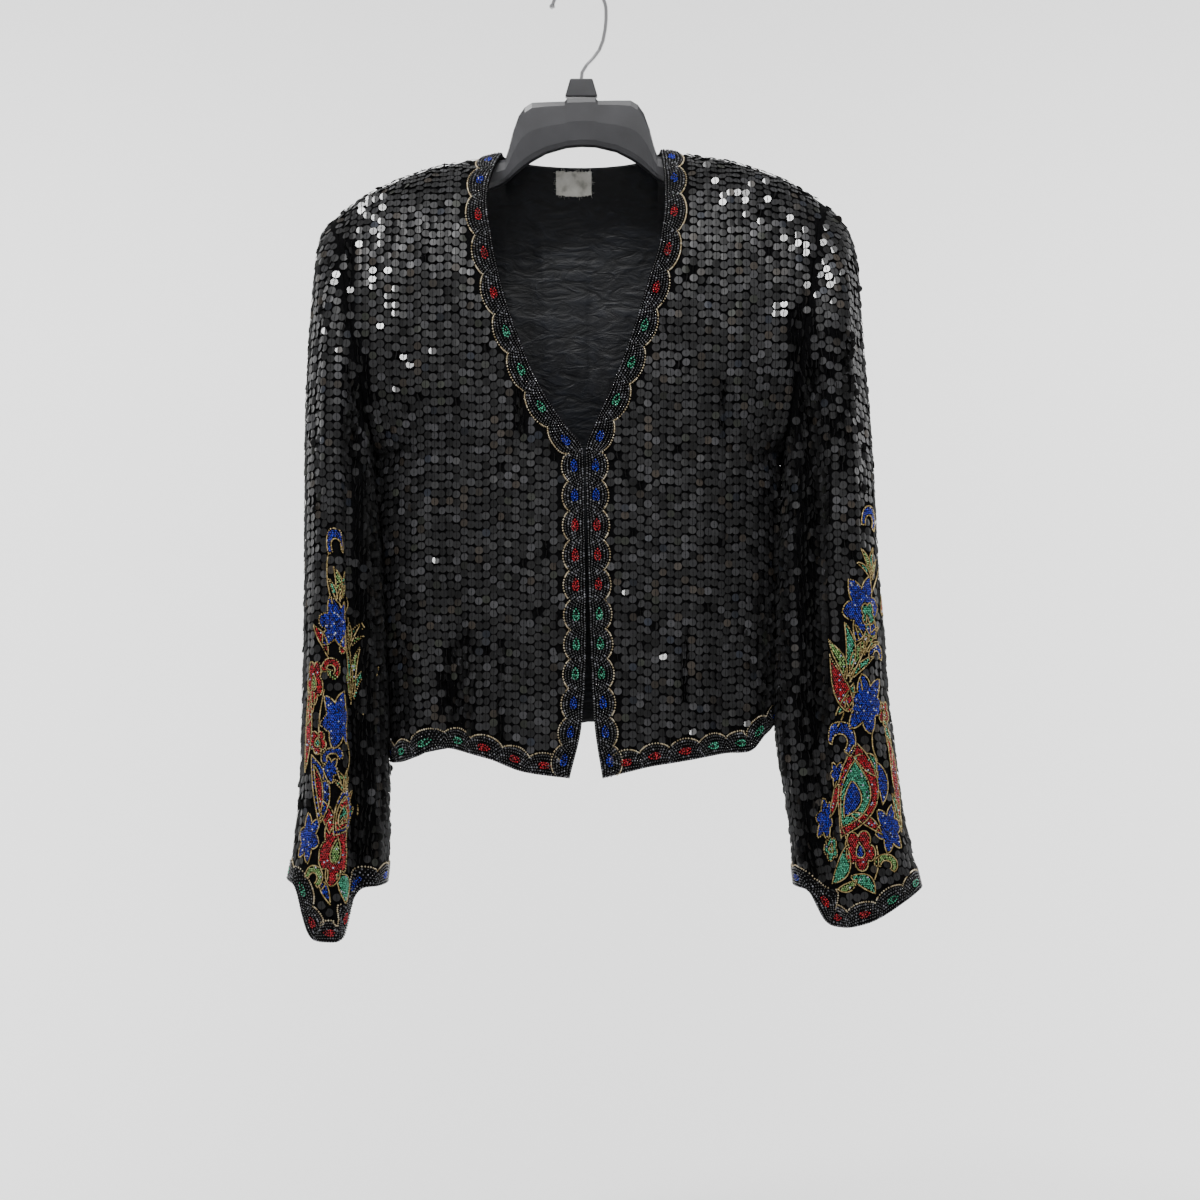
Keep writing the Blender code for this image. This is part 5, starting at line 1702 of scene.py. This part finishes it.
def sequin_mesh(name, centres, normals, downs, turns, threads, flash, rng):
    """Sequins folded a little on their threads: most nearly flat, some on edge, some turned to the light."""
    look = bpy.context.scene.jacket_sequins
    count = len(centres)
    radius = look.diameter * RADIUS * rng.uniform(0.95, 1.04, count)[:, None]
    n0 = unit(normals)
    v0 = unit(downs - n0 * np.sum(downs * n0, axis=1, keepdims=True))
    u0 = np.cross(v0, n0)
    yaw = rng.normal(0, look.sway, count)
    pitch = rng.normal(0.1, look.sway * 0.5, count)
    on_edge_turn = rng.choice([-1, 1], count) * np.radians(rng.uniform(74, 88, count))
    yaw = np.where(threads, on_edge_turn, yaw)[:, None]
    pitch = pitch[:, None]
    u1 = np.cos(yaw) * u0 + np.sin(yaw) * n0
    n1 = np.cos(yaw) * n0 - np.sin(yaw) * u0
    v2 = np.cos(pitch) * v0 + np.sin(pitch) * n1
    n2 = np.cos(pitch) * n1 - np.sin(pitch) * v0
    camera = np.array([CAMERA_X, -CAMERA_AWAY, CAMERA_Z])
    lamp = np.array(FLASH_LAMP)
    aim = unit(unit(camera - centres) + unit(lamp - centres))
    aim = unit(aim + rng.normal(0, FLASH_SPREAD, (count, 3)))
    able = flash & (np.sum(aim * n0, axis=1) > 0.72)
    fold = np.radians(np.where(able, rng.choice([0.0, 7.0], count), rng.normal(6.0, 3.0, count)))[:, None]
    u_flash = unit(np.cross(v0, aim))
    n_flash = unit(aim - np.tan(fold) * u_flash)
    n2 = np.where(able[:, None], n_flash, n2)
    u1 = np.where(able[:, None], unit(np.cross(v0, n2)), u1)
    v2 = np.where(able[:, None], np.cross(n2, u1), v2)
    lift = 0.75 + 0.35 * turns + rng.uniform(0, 0.4, count)
    lift = np.where(threads, 1.4 + rng.uniform(-0.3, 0.3, count), lift)[:, None]
    middle = centres + n0 * lift + u0 * rng.normal(0, 0.25, (count, 1))
    corners, place = [], []
    for k in range(DISC_CORNERS):
        c, s = math.cos(2 * math.pi * k / DISC_CORNERS), math.sin(2 * math.pi * k / DISC_CORNERS)
        corners.append(middle + radius * (c * u1 + s * v2 - abs(c) * np.tan(fold) * n2))
        place.append((0.5 + 0.5 * c, 0.5 + 0.5 * s))
    points = np.stack(corners, axis=1).reshape(-1, 3) * MM
    halves = np.array([[9, 10, 11, 0, 1, 2, 3], [3, 4, 5, 6, 7, 8, 9]])
    loops = (np.arange(count)[:, None, None] * DISC_CORNERS + halves[None]).reshape(-1)
    mesh = mesh_of(name, points, loops, 7)
    layer = mesh.uv_layers.new(name="sequin")
    spots = np.tile(np.array(place)[halves.reshape(-1)], (count, 1))
    layer.data.foreach_set("uv", spots.astype(np.float32).reshape(-1))
    shades = np.array([srgb(code) for code in SEQUIN_SHADES])
    tints = shades[rng.choice(len(shades), count, p=SEQUIN_SHARES)] * rng.uniform(*SHADE_SPREAD, (count, 1))
    # Painted shade: sequins on edge are coloured darker for the shaded folds they stand in
    tints[threads] *= ON_EDGE_PAINTED_SHADE
    dull = threads | (np.abs(n0[:, 1]) < 0.45)
    tints[:, 3] = np.where(able, 0.0, np.where(dull, 0.5, 1.0))
    paint(mesh, "tint", np.repeat(tints, halves.size, axis=0))
    return mesh


def beads_tree(works):
    """Search tree of the beads that sequins keep clear of."""
    places = [place for work in works for place in work.places]
    tree = KDTree(len(places))
    for i, place in enumerate(places):
        tree.insert(place, i)
    tree.balance()
    return tree


def setting(name, description, default, low=0.0, **more):
    """Number that the panel shows."""
    return bpy.props.FloatProperty(name=name, description=description, default=default, min=low, **more)


def width(name, description, default, low=0.001):
    """Length in metres that the panel shows."""
    return setting(name, description, default, low, unit="LENGTH")


class JacketSequins(bpy.types.PropertyGroup):
    diameter: width("Diameter", "Width of one sequin", 0.0069, 0.003)
    pitch: width("Pitch", "From one sequin to the next down a thread", 0.0069, 0.003)
    threads: width("Threads", "From one thread of sequins to the next", 0.0062, 0.003)
    sway: setting("Sway", "How far sequins turn on their threads", math.radians(8), unit="ROTATION")
    roughness: setting("Roughness", "Dullness of their satin face", 0.38, max=1, subtype="FACTOR")
    edge_roughness: setting("Edge roughness", "Dullness of their cut edges", 0.85, max=1, subtype="FACTOR")


class JacketBeads(bpy.types.PropertyGroup):
    seed: width("Seed bead", "Width of a black seed bead", 0.0021)
    curl: width("Curl bead", "Width of a coloured bead in the scallops", 0.0017)
    fill: width("Flower bead", "Width of a bead in the sleeves' flowers", 0.0018)
    gold: width("Gold bead", "Width of a gold bead in the outlines", 0.0017)


class JacketLight(bpy.types.PropertyGroup):
    key: setting("Key", "Power of the soft light above the camera", 15.5, unit="POWER")
    flash: setting("Flash", "Power of the small light that sequins catch", 22.0, unit="POWER")
    paper: setting("Paper", "Power of each of the two lamps on the paper behind", 58.0, unit="POWER")
    room: setting("Room", "Brightness of the white room", 0.5, subtype="FACTOR")


def cloth_with_sequins(name, nodes, surface, runs, works, outward, seed, wrap=False):
    """A panel's cloth shell with its sequins."""
    grid, normals = surface
    finishes = [finish(ground_finish), finish(satin_finish)]
    cloth = cloth_piece(name, grid, normals, CLOTH_WALL, finishes, outward, wrap)
    settle(cloth, nodes)
    sequins = sequins_on(f"{name}_sequins", runs, beads_tree(works), seed)
    declare_cloth(grid, wrap=wrap)
    return cloth


class JACKET_OT_fronts(bpy.types.Operator):
    """Two fronts with their sequins and beaded borders"""

    bl_idname = "jacket.fronts"
    bl_label = "Fronts"

    def execute(self, context):
        step = context.scene.jacket_sequins.threads * METRE
        for order, side in enumerate(SIDES):
            grid, normals = body_cloth(side, "front")
            work, ground = front_beads(side)
            band = ground_piece(f"front_band_{side}", ground)
            settle(band, (f"front_border_{side}",))
            rng = np.random.default_rng(SEEDS["front_beads"] + order)
            pieces = [band] + bead_pieces(f"front_beads_{side}", work, rng)
            start = np.abs(grid[:, 0, 0]) * np.sign(grid[:, 0, 0] * SIDES[side])
            runs = column_runs(grid, normals, start, step)
            cloth_with_sequins(f"front_cloth_{side}", (f"front_{side}",), (grid, normals), runs, [work],
                               SIDES[side], SEEDS["front_sequins"] + order)
        return {"FINISHED"}


class JACKET_OT_back(bpy.types.Operator):
    """Back with its sequins, hem border and neck border"""

    bl_idname = "jacket.back"
    bl_label = "Back"

    def execute(self, context):
        step = context.scene.jacket_sequins.threads * METRE
        hem_work, hem_ground, neck_work, neck_ground = back_beads()
        rng = np.random.default_rng(SEEDS["back_beads"])
        hem_band = settle(ground_piece("back_hem_band", hem_ground), ("back_hem_border",))
        neck_band = settle(ground_piece("back_neck_band", neck_ground), ("back_neck_border",))
        pieces = [hem_band, neck_band]
        pieces += bead_pieces("back_hem_beads", hem_work, rng)
        pieces += bead_pieces("back_neck_beads", neck_work, rng)
        runs = []
        for side in SIDES:
            grid, normals = body_cloth(side, "back")
            runs += column_runs(grid, normals, np.zeros(len(grid)), step)
        cloth_with_sequins("back_cloth", ("back",), back_cloth(), runs, [hem_work, neck_work], -1,
                           SEEDS["back_sequins"])
        return {"FINISHED"}


class JACKET_OT_sleeves(bpy.types.Operator):
    """Two sleeves with their sequins, flowers and cuff borders"""

    bl_idname = "jacket.sleeves"
    bl_label = "Sleeves"

    def execute(self, context):
        step = context.scene.jacket_sequins.threads * METRE
        for order, side in enumerate(SIDES):
            rng = np.random.default_rng(SEEDS["sleeve_beads"] + order)
            work, ground = cuff_beads(side)
            work.settle_down(BEAD_GAP)
            flowers = flower_beads(side, rng)
            band = ground_piece(f"cuff_band_{side}", ground)
            settle(band, (f"cuff_border_{side}",))
            pieces = [band] + bead_pieces(f"cuff_beads_{side}", work, rng)
            pieces += bead_pieces(f"sleeve_flowers_{side}", flowers, rng)
            runs = sleeve_runs(side, step)
            nodes = (f"sleeve_upper_{side}", f"sleeve_under_{side}")
            cloth_with_sequins(f"sleeve_cloth_{side}", nodes, sleeve_cloth(side), runs, [work, flowers],
                               -SIDES[side], SEEDS["sleeve_sequins"] + order, wrap=True)
        return {"FINISHED"}


def lining_surface():
    """Grid and normals of the satin inside the back, wrinkled by the listed creases."""
    grid, normals = back_cloth()
    grid = grid - normals * SATIN_GAP
    push = np.zeros(grid.shape[:2])
    flat = grid[..., [0, 2]]
    for crease in SATIN_CREASES:
        start, end = np.array([crease.from_x, crease.from_z]), np.array([crease.to_x, crease.to_z])
        run = end - start
        share = np.clip(((flat - start) @ run) / (run @ run), 0, 1)
        away = np.linalg.norm(flat - (start + share[..., None] * run), axis=2)
        push += crease.depth * bell(away, 0, crease.half_width)
    push *= faded(np.linspace(0, 1, grid.shape[1])[None, :], 0.08)
    push *= 1 - ease(np.linspace(0, 1, grid.shape[0])[:, None], 0.94, 1.0)
    return grid - normals * push[..., None] * 0.8, normals


class JACKET_OT_lining(bpy.types.Operator):
    """Crinkled satin lining inside the back, with its care label"""

    bl_idname = "jacket.lining"
    bl_label = "Lining and label"

    def execute(self, context):
        grid, normals = lining_surface()
        satin = cloth_piece("lining_satin", grid, normals, SATIN_WALL, [finish(satin_finish)], -1)
        settle(satin, ("back_lining",))
        declare_cloth(grid)
        tree = tree_of_grid(grid - normals * SATIN_WALL)
        rows, columns = LABEL_GRID
        rng = np.random.default_rng(SEEDS["label"])
        label = np.zeros((rows, columns, 3))
        fray = rng.normal(0, 0.45, columns)
        for i in range(rows):
            for j in range(columns):
                share, drop = j / (columns - 1), i / (rows - 1)
                x = LABEL_MIDDLE_X + LABEL_WIDTH * (share - 0.5) + rng.normal(0, 0.12)
                z = LABEL_TOP - LABEL_DROP * drop - 1.2 * math.sin(math.pi * share) * drop
                z += fray[j] if i in (0, rows - 1) else 0
                hit = tree.ray_cast(Vector((x, -20.0, z)), Vector((0, 1, 0)))[0]
                lift = LABEL_LIFT + 0.5 * math.sin(share * 7.0) * drop + 0.3 * math.sin(share * 15 + drop * 4)
                label[i, j] = (x, hit.y - lift, z)
        facing = np.zeros_like(label)
        facing[..., 1] = -1.0
        tape = cloth_piece("care_label_tape", label, facing, TAPE_WALL, [finish(tape_finish)], 1)
        settle(tape, ("care_label",))
        fray_mesh = fringe_of(label, rng)
        fray_mesh.materials.append(finish(tape_finish))
        loose = settle(link("care_label_fray", fray_mesh))
        declare_cloth(label)
        return {"FINISHED"}


def fringe_of(label, rng):
    """Loose threads along a label's edges, thin three-sided strands."""
    points, corners = [], []
    edges = [(label[0], (0, 0, 1), 26), (label[-1], (0, 0, -1), 14)]
    edges += [(label[:, 0], (-1, 0, 0), 12), (label[:, -1], (1, 0, 0), 12)]
    for line, out, count in edges:
        for _ in range(count):
            at = rng.uniform(0, len(line) - 1.001)
            i = int(at)
            root = line[i] + (line[i + 1] - line[i]) * (at - i) + np.array([0, -0.15, 0])
            tip = root + np.array(out) * rng.uniform(0.8, 2.8) + rng.normal(0, 0.5, 3) * np.array([1, 0.3, 1])
            side = unit(np.cross(tip - root, [0.0, 1.0, 0.0])) * 0.11
            base = len(points)
            for place, size in ((root, 1.0), (tip, 0.5)):
                points += [place - side * size, place + side * size, place + np.array([0, -0.16, 0]) * size]
            for a, b in ((0, 1), (1, 2), (2, 0)):
                corners += [base + a, base + b, base + b + 3, base + a + 3]
    return mesh_of("care_label_fray", np.array(points) * MM, corners, 4)


class JACKET_OT_hanger(bpy.types.Operator):
    """Finishes of the moulded hanger, its size marker and its wire hook"""

    bl_idname = "jacket.hanger"
    bl_label = "Hanger and hook"

    def execute(self, context):
        for name, maker in (("hanger", hanger_finish), ("size_tab", hanger_finish), ("hook", chrome_finish)):
            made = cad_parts[name]
            for slot in made.material_slots:
                slot.material = finish(maker)
        return {"FINISHED"}


def area_light(name, place, aim, size, power):
    """Square lamp at a place in metres, facing another."""
    data = bpy.data.lights.new(name, "AREA")
    data.size = size
    data.energy = power
    lamp = bpy.data.objects.new(name, data)
    lamp.location = place
    lamp.rotation_euler = (Vector(aim) - Vector(place)).to_track_quat("-Z", "Y").to_euler()
    bpy.context.scene.collection.objects.link(lamp)


class JACKET_OT_stage(bpy.types.Operator):
    """White seamless sweep, soft studio light and the camera"""

    bl_idname = "jacket.stage"
    bl_label = "Stage"

    def execute(self, context):
        light = context.scene.jacket_light
        bpy.ops.object.select_all(action="DESELECT")
        bpy.ops.mesh.primitive_plane_add(size=9.0, location=(0, -2.0, -1.35))
        sweep = context.object
        sweep.name = "seamless_sweep"
        bpy.ops.object.transform_apply(location=True, rotation=True, scale=True)
        bpy.ops.object.mode_set(mode="EDIT")
        bpy.ops.mesh.select_all(action="DESELECT")
        bpy.ops.object.mode_set(mode="OBJECT")
        for edge in sweep.data.edges:
            ends = [sweep.data.vertices[v].co.y for v in edge.vertices]
            edge.select = min(ends) > 2.4
        bpy.ops.object.mode_set(mode="EDIT")
        bpy.ops.mesh.select_mode(type="EDGE")
        bpy.ops.mesh.extrude_region_move(TRANSFORM_OT_translate={"value": (0, 0, 6.0)})
        bpy.ops.object.mode_set(mode="OBJECT")
        bend = sweep.modifiers.new("sweep bend", "BEVEL")
        bend.width = 1.4
        bend.segments = 14
        bend.limit_method = "ANGLE"
        bpy.ops.object.modifier_apply(modifier=bend.name)
        bpy.ops.object.shade_smooth()
        sweep.data.materials.append(finish(backdrop_finish))

        world = bpy.data.worlds.new("white room")
        world.use_nodes = True
        world.node_tree.nodes["Background"].inputs["Color"].default_value = srgb("#ffffff")
        world.node_tree.nodes["Background"].inputs["Strength"].default_value = light.room
        context.scene.world = world

        area_light("soft key", (0.15, -0.95, 0.72), (0, 0, -0.35), 0.9, light.key)
        area_light("flash", tuple(c * MM for c in FLASH_LAMP), (0, 0, -0.3), 0.12, light.flash)
        for name, x in (("paper left", -1.7), ("paper right", 1.7)):
            area_light(name, (x, 0.7, 0.2), (x * 0.2, 3.0, -0.9), 1.2, light.paper)

        lens = bpy.data.cameras.new("photo camera")
        lens.lens = LENS
        lens.sensor_width = SENSOR
        lens.clip_start = 0.05
        camera = bpy.data.objects.new("photo camera", lens)
        camera.location = (CAMERA_X * MM, -CAMERA_AWAY * MM, CAMERA_Z * MM)
        camera.rotation_euler = (math.radians(90), 0, 0)
        context.scene.collection.objects.link(camera)
        context.scene.camera = camera
        return {"FINISHED"}


class JACKET_PT_pieces(bpy.types.Panel):
    """Buttons for the jacket's pieces"""

    bl_label = "Jacket"
    bl_idname = "JACKET_PT_pieces"
    bl_space_type = "VIEW_3D"
    bl_region_type = "UI"
    bl_category = "Jacket"

    def draw(self, context):
        for settings in ("jacket_sequins", "jacket_beads", "jacket_light"):
            group = getattr(context.scene, settings)
            for name in group.__annotations__:
                self.layout.prop(group, name)
        for piece in PIECES:
            self.layout.operator(piece.bl_idname)


SETTINGS = {"jacket_sequins": JacketSequins, "jacket_beads": JacketBeads, "jacket_light": JacketLight}
PIECES = (
    JACKET_OT_fronts,
    JACKET_OT_back,
    JACKET_OT_sleeves,
    JACKET_OT_lining,
    JACKET_OT_hanger,
    JACKET_OT_stage,
)


def register():
    for name, group in SETTINGS.items():
        bpy.utils.register_class(group)
        setattr(bpy.types.Scene, name, bpy.props.PointerProperty(type=group))
    for made in PIECES + (JACKET_PT_pieces,):
        bpy.utils.register_class(made)


def unregister():
    for made in reversed(PIECES + (JACKET_PT_pieces,)):
        bpy.utils.unregister_class(made)
    for name, group in SETTINGS.items():
        delattr(bpy.types.Scene, name)
        bpy.utils.unregister_class(group)


def main():
    register()
    bpy.ops.jacket.fronts()
    bpy.ops.jacket.back()
    bpy.ops.jacket.sleeves()
    bpy.ops.jacket.lining()
    bpy.ops.jacket.hanger()
    bpy.ops.jacket.stage()


if __name__ == "__main__":
    main()
